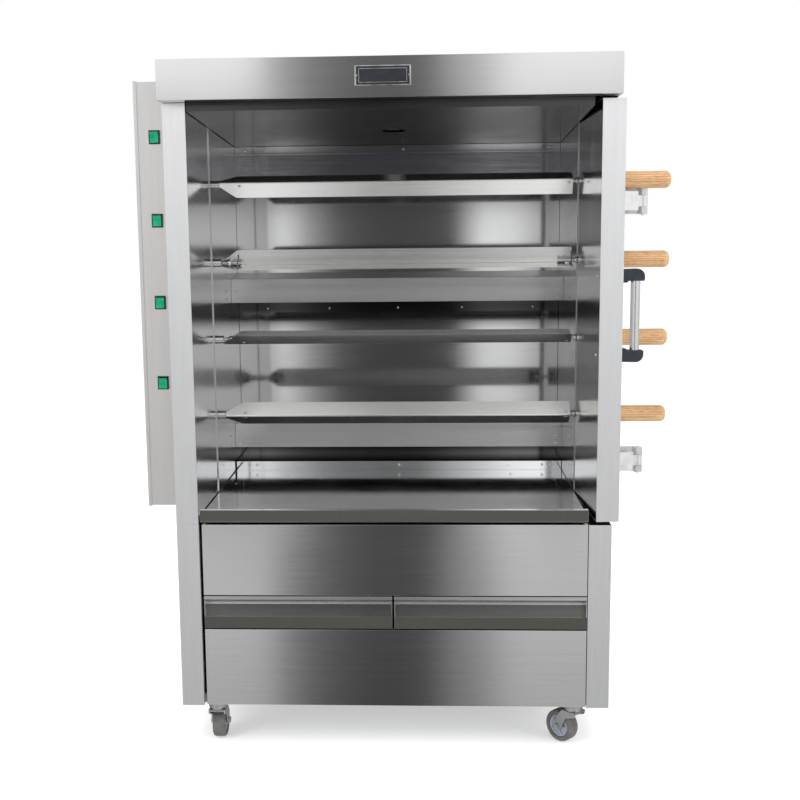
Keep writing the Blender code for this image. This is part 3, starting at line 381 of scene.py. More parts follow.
def brushed(name, tone, roughness, grain="X", anisotropy=0.7, smudge=0.05, tint=(1.0, 1.0, 1.0)):
    """Brushed stainless sheet: fine lines along the grain, soft smudges and handling marks."""
    made, tree, shader = shader_of(name)
    stretch = GRAINS[grain]
    fine = noise(tree, 700.0, 2.0, 0.6, stretch)
    coarse = noise(tree, 130.0, 3.0, 0.6, stretch)
    smudges = noise(tree, 7.0, 4.0, 0.62)
    lines = combine(tree, "ADD", combine(tree, "MULTIPLY", fine, 0.6), combine(tree, "MULTIPLY", coarse, 0.4))
    darker = [tone * 0.96 * t for t in tint]
    lighter = [min(tone * 1.03, 1.0) * t for t in tint]
    tree.links.new(ramp(tree, lines, (0.35, darker), (0.65, lighter)), shader.inputs["Base Color"])
    line_part = spread(tree, lines, -0.015, 0.015)
    smudge_part = spread(tree, smudges, -smudge, smudge)
    rough = combine(tree, "ADD", combine(tree, "ADD", line_part, smudge_part), roughness)
    tree.links.new(rough, shader.inputs["Roughness"])
    set_inputs(shader, Metallic=1.0, Anisotropic=anisotropy)
    tangent = tree.nodes.new("ShaderNodeTangent")
    tangent.direction_type = "RADIAL"
    tangent.axis = grain
    tree.links.new(tangent.outputs["Tangent"], shader.inputs["Tangent"])
    bump(tree, shader, lines, 0.00002, 0.18)
    return made


def plain_metal(name, tone, roughness, grain_size=220.0, depth=0.00008, tint=(1.0, 1.0, 1.0)):
    """Plated or cast metal with a faint uneven skin."""
    made, tree, shader = shader_of(name)
    skin = noise(tree, grain_size, 4.0, 0.6)
    patches = noise(tree, grain_size / 12, 3.0, 0.6)
    darker = [tone * 0.82 * t for t in tint]
    lighter = [min(tone * 1.12, 1.0) * t for t in tint]
    tree.links.new(ramp(tree, patches, (0.3, darker), (0.7, lighter)), shader.inputs["Base Color"])
    tree.links.new(spread(tree, patches, roughness - 0.07, roughness + 0.07), shader.inputs["Roughness"])
    shader.inputs["Metallic"].default_value = 1.0
    bump(tree, shader, skin, depth, 0.6)
    return made


def moulded(name, colour, roughness, lift=1.25, coat=0.0):
    """Moulded plastic or rubber with a fine pebbled skin."""
    made, tree, shader = shader_of(name)
    skin = noise(tree, 1400.0, 2.0, 0.5)
    patches = noise(tree, 60.0, 3.0, 0.6)
    darker = [c * 0.85 for c in colour]
    lighter = [min(c * lift, 1.0) for c in colour]
    tree.links.new(ramp(tree, patches, (0.3, darker), (0.7, lighter)), shader.inputs["Base Color"])
    tree.links.new(spread(tree, patches, roughness - 0.05, roughness + 0.06), shader.inputs["Roughness"])
    set_inputs(shader, Coat_Weight=coat, Coat_Roughness=0.12)
    bump(tree, shader, skin, 0.00003, 0.5)
    return made


def turned_beech(name, axis_point, seed):
    """Turned beech: long grain rings seen from the side, short dark flecks and a warm oiled finish."""
    made, tree, shader = shader_of(name)
    where = tree.nodes.new("ShaderNodeTexCoord")
    offset = Vector((seed, 0.013 + 0.004 * seed, 0.009)) - Vector((0.0, axis_point.y, axis_point.z))
    mapping = added(tree, "Mapping", Location=offset)
    tree.links.new(where.outputs["Object"], mapping.inputs["Vector"])
    stretched = added(tree, "Mapping", Scale=(0.09, 1.0, 1.0))
    tree.links.new(mapping.outputs["Vector"], stretched.inputs["Vector"])
    rings = added(tree, "TexWave", Scale=62.0, Distortion=3.5, Detail=3.0, Detail_Scale=1.6)
    rings.wave_type = "RINGS"
    rings.rings_direction = "X"
    tree.links.new(stretched.outputs["Vector"], rings.inputs["Vector"])
    long_grain = ramp(tree, rings.outputs["Fac"], (0.0, (0.50, 0.275, 0.115)), (0.55, (0.60, 0.37, 0.175)),
                      (1.0, (0.66, 0.44, 0.235)))
    flecks = noise(tree, 900.0, 2.0, 0.5, (0.07, 1.0, 1.0), (seed, 0.0, 0.0))
    fleck_colour = ramp(tree, flecks, (0.36, (0.62, 0.52, 0.42)), (0.46, (1.0, 1.0, 1.0)))
    tone = noise(tree, 28.0, 2.0, 0.5, (0.5, 1.0, 1.0), (seed * 3.1, 0.0, 0.0))
    tone_colour = ramp(tree, tone, (0.3, (0.86, 0.80, 0.74)), (0.7, (1.0, 1.0, 1.0)))
    blended = long_grain
    for layer in (fleck_colour, tone_colour):
        blended = multiplied(tree, blended, layer)
    tree.links.new(blended, shader.inputs["Base Color"])
    tree.links.new(spread(tree, flecks, 0.50, 0.36), shader.inputs["Roughness"])
    set_inputs(shader, Coat_Weight=0.18, Coat_Roughness=0.35)
    bump(tree, shader, flecks, 0.00006, 0.6)
    return made


def green_with_painted_glow():
    """The rockers' translucent green plastic, with a faint painted glow in its own colour over the whole
    rocker.
    """
    made, tree, shader = shader_of("translucent_green")
    cloud = noise(tree, 90.0, 2.0, 0.5)
    colour = ramp(tree, cloud, (0.3, (0.0, 0.20, 0.085)), (0.7, (0.002, 0.33, 0.150)))
    tree.links.new(colour, shader.inputs["Base Color"])
    # Painted glow: the rocker's colour is fed to its emission as well.
    tree.links.new(colour, shader.inputs["Emission Color"])
    shader.inputs["Emission Strength"].default_value = 0.10
    tree.links.new(spread(tree, cloud, 0.16, 0.26), shader.inputs["Roughness"])
    set_inputs(shader, Coat_Weight=0.1, Specular_IOR_Level=0.25, Coat_Roughness=0.08)
    return made


FRONT_STEEL = brushed("front_steel", 0.70, 0.11, "X", 0.88, 0.006)
POST_STEEL = brushed("post_steel", 0.90, 0.40, "Z", 0.85, 0.02, (0.985, 0.99, 1.0))
SIDE_STEEL = brushed("side_steel", 0.66, 0.34, "Z", 0.6, 0.03)
HOUSING_STEEL = brushed("housing_steel", 0.77, 0.46, "Z", 0.5, 0.02, (1.0, 0.985, 0.965))
DRAWER_STEEL = brushed("drawer_steel", 0.66, 0.26, "X", 0.7, 0.02, (1.0, 0.99, 0.97))
OLIVE_STEEL = brushed("olive_steel", 0.16, 0.42, "Z", 0.8, 0.02, (1.0, 0.99, 0.91))
MIRROR_STEEL = brushed("mirror_steel", 0.68, 0.070, "X", 0.5, 0.008, (0.985, 0.99, 1.0))
WALL_STEEL = brushed("wall_steel", 0.58, 0.15, "Y", 0.6, 0.02)
# Painted shade: the oven ceiling's steel is made near black, for the shade under the cavity's top.
CEILING_SHADE_STEEL = brushed("ceiling_shade_steel", 0.09, 0.20, "X", 0.5, 0.03)
# Painted shade: dark steel for the lower part of the drawers' hollow pulls.
HOLLOW_SHADE_STEEL = brushed("hollow_shade_steel", 0.20, 0.30, "X", 0.7, 0.02)
PAN_STEEL = brushed("pan_steel", 0.80, 0.10, "X", 0.4, 0.02, (0.98, 0.99, 1.0))
SHIELD_STEEL = brushed("shield_steel", 0.58, 0.30, "X", 0.6, 0.02)
SPIT_STEEL = brushed("spit_steel", 0.88, 0.24, "X", 0.7, 0.02, (1.0, 0.995, 0.975))
ROD_STEEL = plain_metal("rod_steel", 0.66, 0.24, 500.0, 0.00003)
SCREW_STEEL = plain_metal("screw_steel", 0.78, 0.22, 600.0, 0.00002)
ZINC = plain_metal("zinc", 0.46, 0.42, 300.0, 0.00006, (0.97, 0.99, 1.0))
DUCT_STEEL = plain_metal("duct_steel", 0.48, 0.36, 120.0, 0.00005)
CAST_ALLOY = plain_metal("cast_alloy", 0.96, 0.46, 520.0, 0.00016)
DARK_METAL = plain_metal("dark_metal", 0.16, 0.55, 260.0, 0.00010, (1.0, 0.96, 0.92))
BLACK_PLASTIC = moulded("black_plastic", (0.012, 0.014, 0.022), 0.38, 1.6)
KNOB_PLASTIC = moulded("knob_plastic", (0.016, 0.016, 0.017), 0.44, 1.6)
TYRE_RUBBER = moulded("tyre_rubber", (0.105, 0.100, 0.095), 0.62)
HUB_PLASTIC = moulded("hub_plastic", (0.27, 0.29, 0.36), 0.42)
PLATE_INK = moulded("plate_ink", (0.008, 0.010, 0.014), 0.34, 1.3, 0.15)
GREEN_PLASTIC = green_with_painted_glow()


# ---- small fittings
def screw_shape(radius, height):
    """A pan head with a cross recess, its face towards +Z."""
    dome = [(0.0, 0.0), (0.0, radius)]
    dome += [(height * math.sin(math.radians(a)), radius * (0.45 + 0.55 * math.cos(math.radians(a))))
             for a in (22.0, 44.0, 66.0, 90.0)]
    dome.append((height, 0.0))
    head = lathe(dome, "Z", segments=20)
    reach = radius * 0.52
    width = radius * 0.11
    depth = height * 0.55
    slots = [block((-reach, -width, height - depth), (reach, width, height * 1.5)),
             block((-width, -reach, height - depth), (width, reach, height * 1.5))]
    return cut(head, *slots)


def rivet_shape(radius, height):
    """A low domed rivet head towards +Z."""
    dome = [(0.0, 0.0), (0.0, radius)]
    dome += [(height * math.sin(math.radians(a)), radius * math.cos(math.radians(a)))
             for a in (25.0, 50.0, 72.0)]
    dome.append((height, 0.0))
    return lathe(dome, "Z", segments=16)


def hex_bolt_shape(radius, height):
    """A hexagonal bolt head with a chamfered crown and a washer."""
    head = lathe([(0.0008, 0.0), (0.0008, radius), (height * 0.85, radius), (height, radius * 0.82),
                  (height, 0.0)], "Z", segments=6)
    washer = lathe(bar(0.0, 0.0008, radius * 1.3), "Z", segments=32)
    return gathered(washer, rounded(head, radius * 0.05))


def fixings(name, shape, places, body):
    """Copies of one fixing at (point, direction) places, as one piece. Each turns a little differently."""
    pattern = bpy.data.meshes.new("pattern")
    shape.to_mesh(pattern)
    shape.free()
    whole = bmesh.new()
    for index, (point, direction) in enumerate(places):
        turn = Vector((0.0, 0.0, 1.0)).rotation_difference(Vector(direction)).to_matrix().to_4x4()
        spin = rotation(37.0 * index, "Z")
        copy = pattern.copy()
        copy.transform(Matrix.Translation(point) @ turn @ spin)
        whole.from_mesh(copy)
        bpy.data.meshes.remove(copy)
    bpy.data.meshes.remove(pattern)
    piece(name, whole, SCREW_STEEL, body)


# ---- cabinet
FRONT = Vector((0.0, -1.0, 0.0))
DRAWER_LIP_HEIGHT = 0.0275
DRAWER_SHADE_HEIGHT = 0.022        # how far the painted shade in the pull's hollow climbs above the lip
SEAM_DROP = 0.425                  # from the rear wall's top band to its screwed seam
PAN_FLANGE_SETBACK = 0.118         # from the pan's back edge to its rear flange
PAN_DEPTH = 0.024


def darken_front(made, face_y, top):
    """Gives the flat front of a folded lip a duller, darker olive colour, up to a height."""
    made.data.materials.append(OLIVE_STEEL)
    for face in made.data.polygons:
        if face.normal.y < -0.99 and abs(face.center.y - face_y) < 0.0005 and face.center.z < top:
            face.material_index = 1


def paint_hollow_shade(drawer, face_y, floor_z, top_z):
    """Paints shade into the lower part of a drawer's hollow pull, darker than its curled top."""
    shape = bmesh.new()
    shape.from_mesh(drawer.data)
    everything = shape.verts[:] + shape.edges[:] + shape.faces[:]
    bmesh.ops.bisect_plane(shape, geom=everything, plane_co=(0.0, 0.0, top_z), plane_no=(0.0, 0.0, 1.0))
    shape.to_mesh(drawer.data)
    shape.free()
    drawer.data.materials.append(HOLLOW_SHADE_STEEL)
    for face in drawer.data.polygons:
        deep = 0.015 < face.center.y - face_y < 0.028
        if deep and face.normal.y < -0.9 and floor_z < face.center.z < top_z:
            face.material_index = 2


def paint_shield_shadow(made):
    """Paints the burner shields' shadow into the rear wall's steel: darker behind each shield, fading out
    above and below it.
    """
    tree = made.node_tree
    colour = tree.nodes["Principled BSDF"].inputs["Base Color"]
    clean = colour.links[0].from_socket
    where = tree.nodes.new("ShaderNodeTexCoord")
    parts = tree.nodes.new("ShaderNodeSeparateXYZ")
    tree.links.new(where.outputs["Object"], parts.inputs["Vector"])
    half_height = combine(tree, "MULTIPLY", parts.outputs["Z"], 0.5)
    shades = []
    for level in sorted(LEVELS):
        edge = low("burner_shield_" + level).z
        shades += [(edge - 0.085, 1.0), (edge - 0.050, 0.30), (edge - 0.026, 0.07), (edge + 0.030, 0.07),
                   (edge + 0.085, 1.0)]
    tint = grey_ramp(tree, half_height, shades, 0.0, 2.0)
    tree.links.new(multiplied(tree, clean, tint), colour)


def build_cabinet():
    """The folded sheet: fronts and posts, the oven's lining, the pan, the shields and the drawers."""
    sheets = (
        (POST_STEEL, "brushed_steel", 0.0007, ("base_left_side", "base_right_side", "left_outer_panel")),
        (SIDE_STEEL, "brushed_steel", 0.0007, ("right_rear_panel",)),
        (SIDE_STEEL, "brushed_steel", 0.0006, ("base_back", "back_cover")),
        (ZINC, "zinc_plate", 0.0004, ("base_bottom",)),
        (FRONT_STEEL, "brushed_steel", 0.0007, ("upper_fascia", "lower_fascia")),
        (ZINC, "brushed_steel", 0.0003, ("drawer_runners",)),
        (FRONT_STEEL, "brushed_steel", 0.0007, ("hood",)),
        (WALL_STEEL, "liner_steel", 0.0005, ("left_inner_liner", "right_inner_liner")),
        (MIRROR_STEEL, "liner_steel", 0.0005, ("back_wall",)),
        (CEILING_SHADE_STEEL, "liner_steel", 0.0005, ("ceiling_panel",)),
        (PAN_STEEL, "liner_steel", 0.0006, ("drip_pan",)),
        (SHIELD_STEEL, "liner_steel", 0.0005, ("burner_shield_upper", "burner_shield_lower")),
    )
    made = {node: softened(node, material, radius)
            for material, slot, radius, nodes in sheets for node in nodes}
    # Painted shadow of each burner shield on the rear wall's steel.
    paint_shield_shadow(MIRROR_STEEL)
    darken_front(made["drip_pan"], low("drip_pan").y, high("drip_pan").z)
    for side in ("left", "right"):
        drawer = softened(side + "_drawer", DRAWER_STEEL, 0.0006)
        corner = low(side + "_drawer")
        lip_top = corner.z + DRAWER_LIP_HEIGHT
        darken_front(drawer, corner.y, lip_top)
        # Painted shade in the lower part of the drawer's hollow pull.
        paint_hollow_shade(drawer, corner.y, lip_top, lip_top + DRAWER_SHADE_HEIGHT)


def build_fixings():
    """Screws and rivets that hold the linings, the shields, the pan and the outer panels."""
    up = Vector((0.0, 0.0, 1.0))
    back = Vector((0.0, 1.0, 0.0))
    span = LINER_RIGHT - LINER_LEFT
    rear_y = low("back_wall").y
    band_z = low("ceiling_panel").z - 0.011
    places = [((LINER_LEFT + span * share, rear_y, band_z), FRONT) for share in (0.03, 0.52, 0.965)]
    places += [((LINER_LEFT + span * share, rear_y + 0.0015, band_z - SEAM_DROP), FRONT)
               for share in (0.09, 0.285, 0.50, 0.70, 0.92)]
    pan_high = high("drip_pan")
    flange_y = pan_high.y - PAN_FLANGE_SETBACK
    flange_z = pan_high.z - 0.010
    places += [((CENTRE_X + x, flange_y, flange_z), FRONT) for x in (-0.400, -0.380, 0.004, 0.385, 0.407)]
    for level in LEVELS:
        shield = low("burner_shield_" + level)
        for x in (LINER_LEFT + 0.012, LINER_RIGHT - 0.016):
            places += [((x, shield.y, shield.z + z), FRONT) for z in (0.009, 0.030)]
    fixings("lining_screws", screw_shape(0.0034, 0.0021), places, "frame")

    rivets = [(-0.410, 0.36), (-0.290, 0.46), (-0.196, 0.42), (0.004, 0.475), (0.297, 0.475), (0.404, 0.40)]
    places = [((CENTRE_X + x, POST_FRONT + y, pan_high.z - PAN_DEPTH), up) for x, y in rivets]
    fixings("pan_rivets", rivet_shape(0.0034, 0.0014), places, "frame")

    cover_low, cover_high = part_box("back_cover")
    columns = (cover_low.x + 0.035, (cover_low.x + cover_high.x) / 2, cover_high.x - 0.035)
    rows = [cover_low.z + 0.03 + (cover_high.z - cover_low.z - 0.06) * i / 4 for i in range(5)]
    places = [((x, cover_high.y, z), back) for x in columns for z in rows
              if not (x == columns[1] and 0 < rows.index(z) < 4)]
    base_low, base_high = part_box("base_back")
    places += [((x, base_high.y, z), back) for x in columns for z in (base_low.z + 0.03, base_high.z - 0.03)]
    fixings("back_screws", screw_shape(0.0042, 0.0024), places, "frame")


def build_nameplate():
    """A blank dark plate in a bright rim, with a fine border and two pins."""
    start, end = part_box("nameplate")
    face = start.y
    middle = (start + end) / 2
    plate_x = (end.x - start.x) / 2
    plate_z = (end.z - start.z) / 2
    hollow = slab(middle, plate_x - 0.0028, plate_z - 0.0016, face - 0.001, face + 0.0007)
    rim = cut(block(start, end, 0.0005), hollow)
    piece("nameplate_rim", rim, SCREW_STEEL, "frame", ("nameplate",))
    field = slab(middle, plate_x - 0.0030, plate_z - 0.0018, face + 0.0004, end.y)
    piece("nameplate_field", field, PLATE_INK, "frame")

    width = 0.0005
    half_x = plate_x - 0.0085
    half_z = plate_z - 0.0065
    lines = []
    for sign in (-1.0, 1.0):
        for x, z, wide, tall in ((0.0, sign * half_z, half_x, width), (sign * half_x, 0.0, width, half_z)):
            lines.append(slab(middle + Vector((x, 0.0, z)), wide, tall, face + 0.0001, face + 0.0006))
    piece("nameplate_border", gathered(*lines), SCREW_STEEL, "frame")
    pins = [((middle.x + sign * (half_x + 0.0042), face + 0.0004, middle.z), FRONT) for sign in (-1.0, 1.0)]
    fixings("nameplate_pins", rivet_shape(0.0013, 0.0004), pins, "frame")


def build_flue():
    """A rolled duct with a lapped seam, a turned rim and a flange on the ceiling."""
    start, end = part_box("flue_duct")
    centre = Vector(((start.x + end.x) / 2, (start.y + end.y) / 2, 0.0))
    radius = 0.030
    wall = 0.0012
    flange_z = start.z + 0.0130
    rim = arc((end.z - 0.0012, radius - wall / 2), 0.0012, -90.0, 90.0, 6)
    profile = [(start.z, radius - wall), *rim, (flange_z + 0.0012, radius),
               (flange_z + 0.0012, radius + 0.0135), (flange_z, radius + 0.0135), (flange_z, radius),
               (start.z, radius)]
    duct = lathe(profile, "Z", centre, 64, ring=True)
    seam = block((centre.x - 0.006, centre.y + radius - 0.0004, flange_z + 0.002),
                 (centre.x + 0.006, centre.y + radius + 0.0007, end.z - 0.003), 0.0003)
    stand_in("flue_duct", gathered(duct, seam), DUCT_STEEL)


# ---- burners and taps
def build_burners():
    """Two ported burner tubes on a manifold, with hexagonal unions and a threaded inlet."""
    upper = pivot("tap_1_turn")
    start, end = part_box("burner_pipework")
    manifold_x = CENTRE_X + 0.4555
    neck_x = manifold_x - 0.014
    ports = 26
    parts = []
    for axis in (upper, pivot("tap_2_turn")):
        line = (0.0, axis.y, axis.z)
        tube = [(start.x, 0.0), (start.x, 0.0088), (start.x + 0.002, 0.0105), (manifold_x - 0.020, 0.0105),
                (neck_x, 0.0080), (neck_x, 0.0)]
        parts.append(lathe(tube, "X", line, 32))
        parts.append(lathe(bar(neck_x, end.x, 0.006), "X", line, 24))
        parts.append(lathe(bar(manifold_x - 0.013, manifold_x - 0.0095, 0.0098), "X", line, 6))
        for i in range(ports):
            x = start.x + 0.03 + (manifold_x - 0.06 - start.x) * i / (ports - 1)
            jet = lathe([(0.0, 0.0), (0.0, 0.0021), (0.0012, 0.0018), (0.0012, 0.0)], "Z", segments=10)
            parts.append(moved(jet, Matrix.Translation((x, axis.y - 0.0102, axis.z)) @ rotation(90.0, "X")))
    height = [(start.z, 0.0), (start.z, 0.0090), (upper.z + 0.012, 0.0090), (upper.z + 0.014, 0.0070),
              (upper.z + 0.014, 0.0)]
    parts.append(lathe(height, "Z", (manifold_x, upper.y, 0.0), 32))
    y = end.y - 0.020
    threads = [(upper.y, 0.0), (upper.y, 0.0078), (y, 0.0078)]
    while y < end.y - 0.0030:
        threads += [(y + 0.0006, 0.0068), (y + 0.0012, 0.0080)]
        y += 0.0018
    threads += [(end.y, 0.0070), (end.y, 0.0)]
    parts.append(lathe(threads, "Y", (manifold_x, 0.0, start.z + 0.012), 28))
    stand_in("burner_pipework", gathered(*parts), DARK_METAL)


def build_taps():
    """Fluted gas tap knobs with a raised pointer, on a bright escutcheon."""
    plate_x = high("right_rear_panel").x
    segments = 72
    for k in BURNERS:
        node = f"tap_knob_{k}"
        start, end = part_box(node)
        centre = pivot(f"tap_{k}_turn")
        depth = end.x - start.x
        # How far along, how wide, and how deep the flutes are.
        stations = [(0.0, 0.0, 0.0), (0.0, 0.0200, 0.0), (0.0012, 0.0210, 0.0), (0.0055, 0.0210, 0.0),
                    (0.0072, 0.0186, 0.0), (0.0085, 0.0180, 0.0009), (depth - 0.0040, 0.0165, 0.0008),
                    (depth - 0.0022, 0.0150, 0.0), (depth - 0.0016, 0.0110, 0.0), (depth - 0.0022, 0.0, 0.0)]
        shape = bmesh.new()
        rings = []
        for along, radius, flute in stations:
            if radius == 0.0:
                rings.append([shape.verts.new((along, 0.0, 0.0))] * segments)
                continue
            ring = []
            for i in range(segments):
                a = 2 * math.pi * i / segments
                r = radius - flute * (0.5 + 0.5 * math.cos(18 * a))
                ring.append(shape.verts.new((along, r * math.cos(a), r * math.sin(a))))
            rings.append(ring)
        bridge(shape, rings)
        bmesh.ops.recalc_face_normals(shape, faces=shape.faces)
        pointer = block((depth - 0.0060, -0.0022, -0.0175), (depth, 0.0022, 0.0175), 0.0010, 3)
        knob = moved(gathered(shape, pointer), Matrix.Translation((start.x, centre.y, centre.z)))
        stand_in(node, knob, KNOB_PLASTIC)
        mark = block((end.x - 0.0004, centre.y - 0.0006, centre.z + 0.006),
                     (end.x, centre.y + 0.0006, centre.z + 0.0165))
        piece(f"tap_mark_{k}", mark, CAST_ALLOY, f"tap_{k}")
        profile = [(0.0, 0.0072), (0.0, 0.0225), (0.0012, 0.0225), (0.0020, 0.0200), (0.0020, 0.0072)]
        plate = lathe(profile, "X", (plate_x, centre.y, centre.z), 48, ring=True)
        piece(f"tap_plate_{k}", plate, SCREW_STEEL, "frame")


# ---- motor housing
def build_motor_housing():
    """The box on the left that holds the motors, its screwed cover, and black patches of painted shade for
    its vents' open slots.
    """
    softened("motor_housing", HOUSING_STEEL, 0.0006)
    softened("drive_motors", DARK_METAL, 0.0015, 3)
    start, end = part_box("motor_housing")
    cover_low, cover_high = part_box("motor_cover")
    face_x = cover_low.x + 0.0025
    wall = 0.0015
    outer = rounded(block((face_x, cover_low.y, cover_low.z), cover_high), 0.0008, 2)
    hollow = block((face_x + wall, start.y - 0.0003, start.z - 0.0003),
                   (cover_high.x + 0.01, end.y + 0.0003, end.z + 0.0003))
    stand_in("motor_cover", cut(outer, hollow), HOUSING_STEEL)
    middle = (cover_low.z + cover_high.z) / 2 - 0.0032
    steps = (-0.4580, -0.3255, -0.1925, 0.0, 0.1925, 0.3255, 0.4580)
    places = [((face_x, y, middle + step), (-1.0, 0.0, 0.0)) for step in steps
              for y in (start.y + 0.015, end.y - 0.015)]
    fixings("motor_cover_screws", screw_shape(0.0042, 0.0025), places, "frame")
    # Painted shade: thin black patches stand for the vents' open slots.
    slots = []
    for z in (start.z + 0.06, start.z + 0.095):
        for i in range(9):
            x = start.x + 0.012 + 0.0078 * i
            slots.append(block((x, end.y - 0.0004, z), (x + 0.0034, end.y + 0.0002, z + 0.024)))
    piece("painted_vent_shade", gathered(*slots), BLACK_PLASTIC, "frame")


ROCKER_TILT = 7.0                  # degrees, each rocker at rest


def build_switches():
    """Snap-in rocker switches: a rimmed black bezel and a dished green rocker."""
    bezels = []
    front = low("switch_bezels").y
    panel = low("motor_housing").y
    for k in SPITS:
        centre = pivot(f"switch_{k}_rock")
        rim = slab(centre, 0.01275, 0.0155, front, panel - 0.0002, 0.0009, 3)
        well = slab(centre, 0.0101, 0.0133, front - 0.01, panel + 0.003, 0.0006)
        bezels.append(cut(rim, well))
        bezels.append(slab(centre, 0.0106, 0.0136, panel + 0.0060, panel + 0.0180, 0.0006))
        node = f"rocker_{k}"
        face_low, face_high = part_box(node)
        reach = (face_high.z - face_low.z) / 2
        dish = [(-0.0014 - 0.0031 * (t / 4.0) ** 2, reach * 0.985 * t / 4.0) for t in range(4, -5, -1)]
        section = dish + [(0.0042, -reach * 0.78), (0.0042, reach * 0.78)]
        rocker = rounded(prism(section, "X", face_low.x, face_high.x), 0.0005, 3)
        rocker = moved(rocker, Matrix.Translation((0.0, centre.y, centre.z)) @ rotation(ROCKER_TILT, "X"))
        stand_in(node, rocker, GREEN_PLASTIC)
    stand_in("switch_bezels", gathered(*bezels), BLACK_PLASTIC)


# ---- spits
BLADE_LEG = 0.039
BLADE_RIDGE = 0.013
BLADE_SHEET = 0.0016
BLADE_TAPER = 0.038
BLADE_TIP = 0.0105
ROD = 0.0050
SPIT_ROLLS = (160.0, -30.0, -83.0, 188.0)    # degrees at rest, as in part.py, from spit 1 to spit 4


def blade_section(leg):
    """The V's outline with a bent ridge, its legs of one length, as (across, up) points."""
    bend = 0.0032
    diagonal = math.sqrt(0.5)
    reach = leg * diagonal
    shift = BLADE_SHEET * diagonal
    outer = BLADE_RIDGE - reach
    inner = outer - shift
    centre = (BLADE_RIDGE - bend / diagonal, 0.0)
    return [
        (outer, reach), *arc(centre, bend, 45.0, -45.0, 6), (outer, -reach),
        (inner, -reach + shift), *arc(centre, bend - BLADE_SHEET, -45.0, 45.0, 6), (inner, reach - shift),
    ]


def blade_shape(left, right):
    """One V-bent blade that tapers to its left end."""
    shape = bmesh.new()
    stations = [(left - BLADE_TAPER * (1 - t), BLADE_TIP + (BLADE_LEG - BLADE_TIP) * t)
                for t in (0.0, 0.35, 0.7, 0.96)]
    stations += [(x, BLADE_LEG) for x in (left + 0.003, left + 0.2, right - 0.2, right)]
    rings = [[shape.verts.new((x, across, up)) for across, up in blade_section(leg)] for x, leg in stations]
    bridge(shape, rings)
    shape.faces.new(rings[0])
    shape.faces.new(list(reversed(rings[-1])))
    bmesh.ops.recalc_face_normals(shape, faces=shape.faces)
    return shape


def rod_shapes(left, right, tang, grip):
    """The round rods at a blade's two ends, with the square tang, the ball, the welds and the webs."""
    left_rod = [(tang + 0.020, 0.0), (tang + 0.020, ROD), (left + 0.010, ROD), (left + 0.012, 0.0)]
    parts = [lathe(left_rod, "X", segments=28)]
    parts.append(block((tang, -0.004, -0.004), (tang + 0.024, 0.004, 0.004), 0.0005))
    parts.append(lathe(bead(CENTRE_X - 0.398, 0.0085, 0.0092, 15), "X", segments=32))
    collar = [(0.4335, ROD), (0.4335, 0.0070), (0.4345, 0.0075), (0.4985, 0.0075), (0.4995, 0.0070),
              (0.4995, ROD)]
    right_rod = [(right - 0.034, 0.0), (right - 0.033, ROD), *[(CENTRE_X + x, r) for x, r in collar],
                 (grip + 0.060, ROD), (grip + 0.060, 0.0)]
    parts.append(lathe(right_rod, "X", segments=32))
    for x in (left + 0.004, right - 0.016):
        for up in (0.0, 0.0045, -0.0045):
            parts.append(lathe(bead(x + 0.006, 0.006, 0.0036, 20), "X", (0.0, 0.0052, up), 14))
    web = [(BLADE_RIDGE - 0.0215, 0.0175), (BLADE_RIDGE - 0.0030, 0.0), (BLADE_RIDGE - 0.0215, -0.0175)]
    for x in (left, right - 0.003):
        parts.append(prism(web, "X", x, x + 0.003))
    return parts


def build_spits():
    """Four blades on rods, each with a turned handle, a ferrule and its drive socket."""
    wood = [turned_beech(f"turned_beech_{k}", pivot(f"spit_{k}_turn"), 0.7 * k) for k in SPITS]
    left = CENTRE_X - 0.377
    right = CENTRE_X + 0.4255
    for k in SPITS:
        axis = pivot(f"spit_{k}_turn")
        line = (0.0, axis.y, axis.z)
        place = Matrix.Translation(line) @ rotation(SPIT_ROLLS[k - 1], "X")
        handle_low, handle_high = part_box(f"spit_handle_{k}")
        start, end = handle_low.x, handle_high.x

        blade = moved(blade_shape(left, right), place)
        stand_in(f"spit_blade_{k}", blade, SPIT_STEEL)
        rods = moved(gathered(*rod_shapes(left, right, low(f"spit_blade_{k}").x, start)), place)
        piece(f"spit_rod_{k}", rods, ROD_STEEL, f"spit_{k}")

        radius = (handle_high.z - handle_low.z) / 2
        crown = arc((end - 0.0130, radius - 0.0130), 0.0130, 90.0, 8.0, 10)
        profile = [(start + 0.003, 0.0055), (start, 0.0065), (start, 0.0150), (start + 0.0012, 0.0170),
                   (start + 0.0045, 0.0189), (start + 0.0110, radius), (start + 0.060, radius * 0.992),
                   *crown, (end, 0.0)]
        grip = lathe(profile, "X", line, 64)
        stand_in(f"spit_handle_{k}", grip, wood[k - 1], 40.0)

        profile = [(start - 0.0095, ROD), (start - 0.0095, 0.0090), (start - 0.0085, 0.0098),
                   (start - 0.0006, 0.0098), (start - 0.0006, ROD)]
        ferrule = lathe(profile, "X", line, 32, ring=True)
        piece(f"spit_ferrule_{k}", ferrule, SCREW_STEEL, f"spit_{k}")
        build_socket(k, place)


def build_socket(k, place):
    """A turned drive socket with a square mouth, a chamfered rim and a grub screw."""
    node = f"drive_socket_{k}"
    start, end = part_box(node)
    radius = 0.0095
    profile = [(start.x, 0.0), (start.x, radius), (end.x - 0.001, radius), (end.x, radius - 0.001),
               (end.x, 0.0)]
    body = lathe(profile, "X", segments=40)
    mouth = block((end.x - 0.024, -0.0044, -0.0044), (end.x + 0.01, 0.0044, 0.0044))
    shape = cut(body, mouth)
    grub = lathe([(0.0, 0.0), (0.0, 0.0024), (0.0008, 0.0020), (0.0008, 0.0)], "Z", segments=6)
    grub = moved(grub, Matrix.Translation((end.x - 0.010, 0.0, radius - 0.0003)))
    whole = moved(gathered(shape, grub), place)
    stand_in(node, whole, ROD_STEEL)


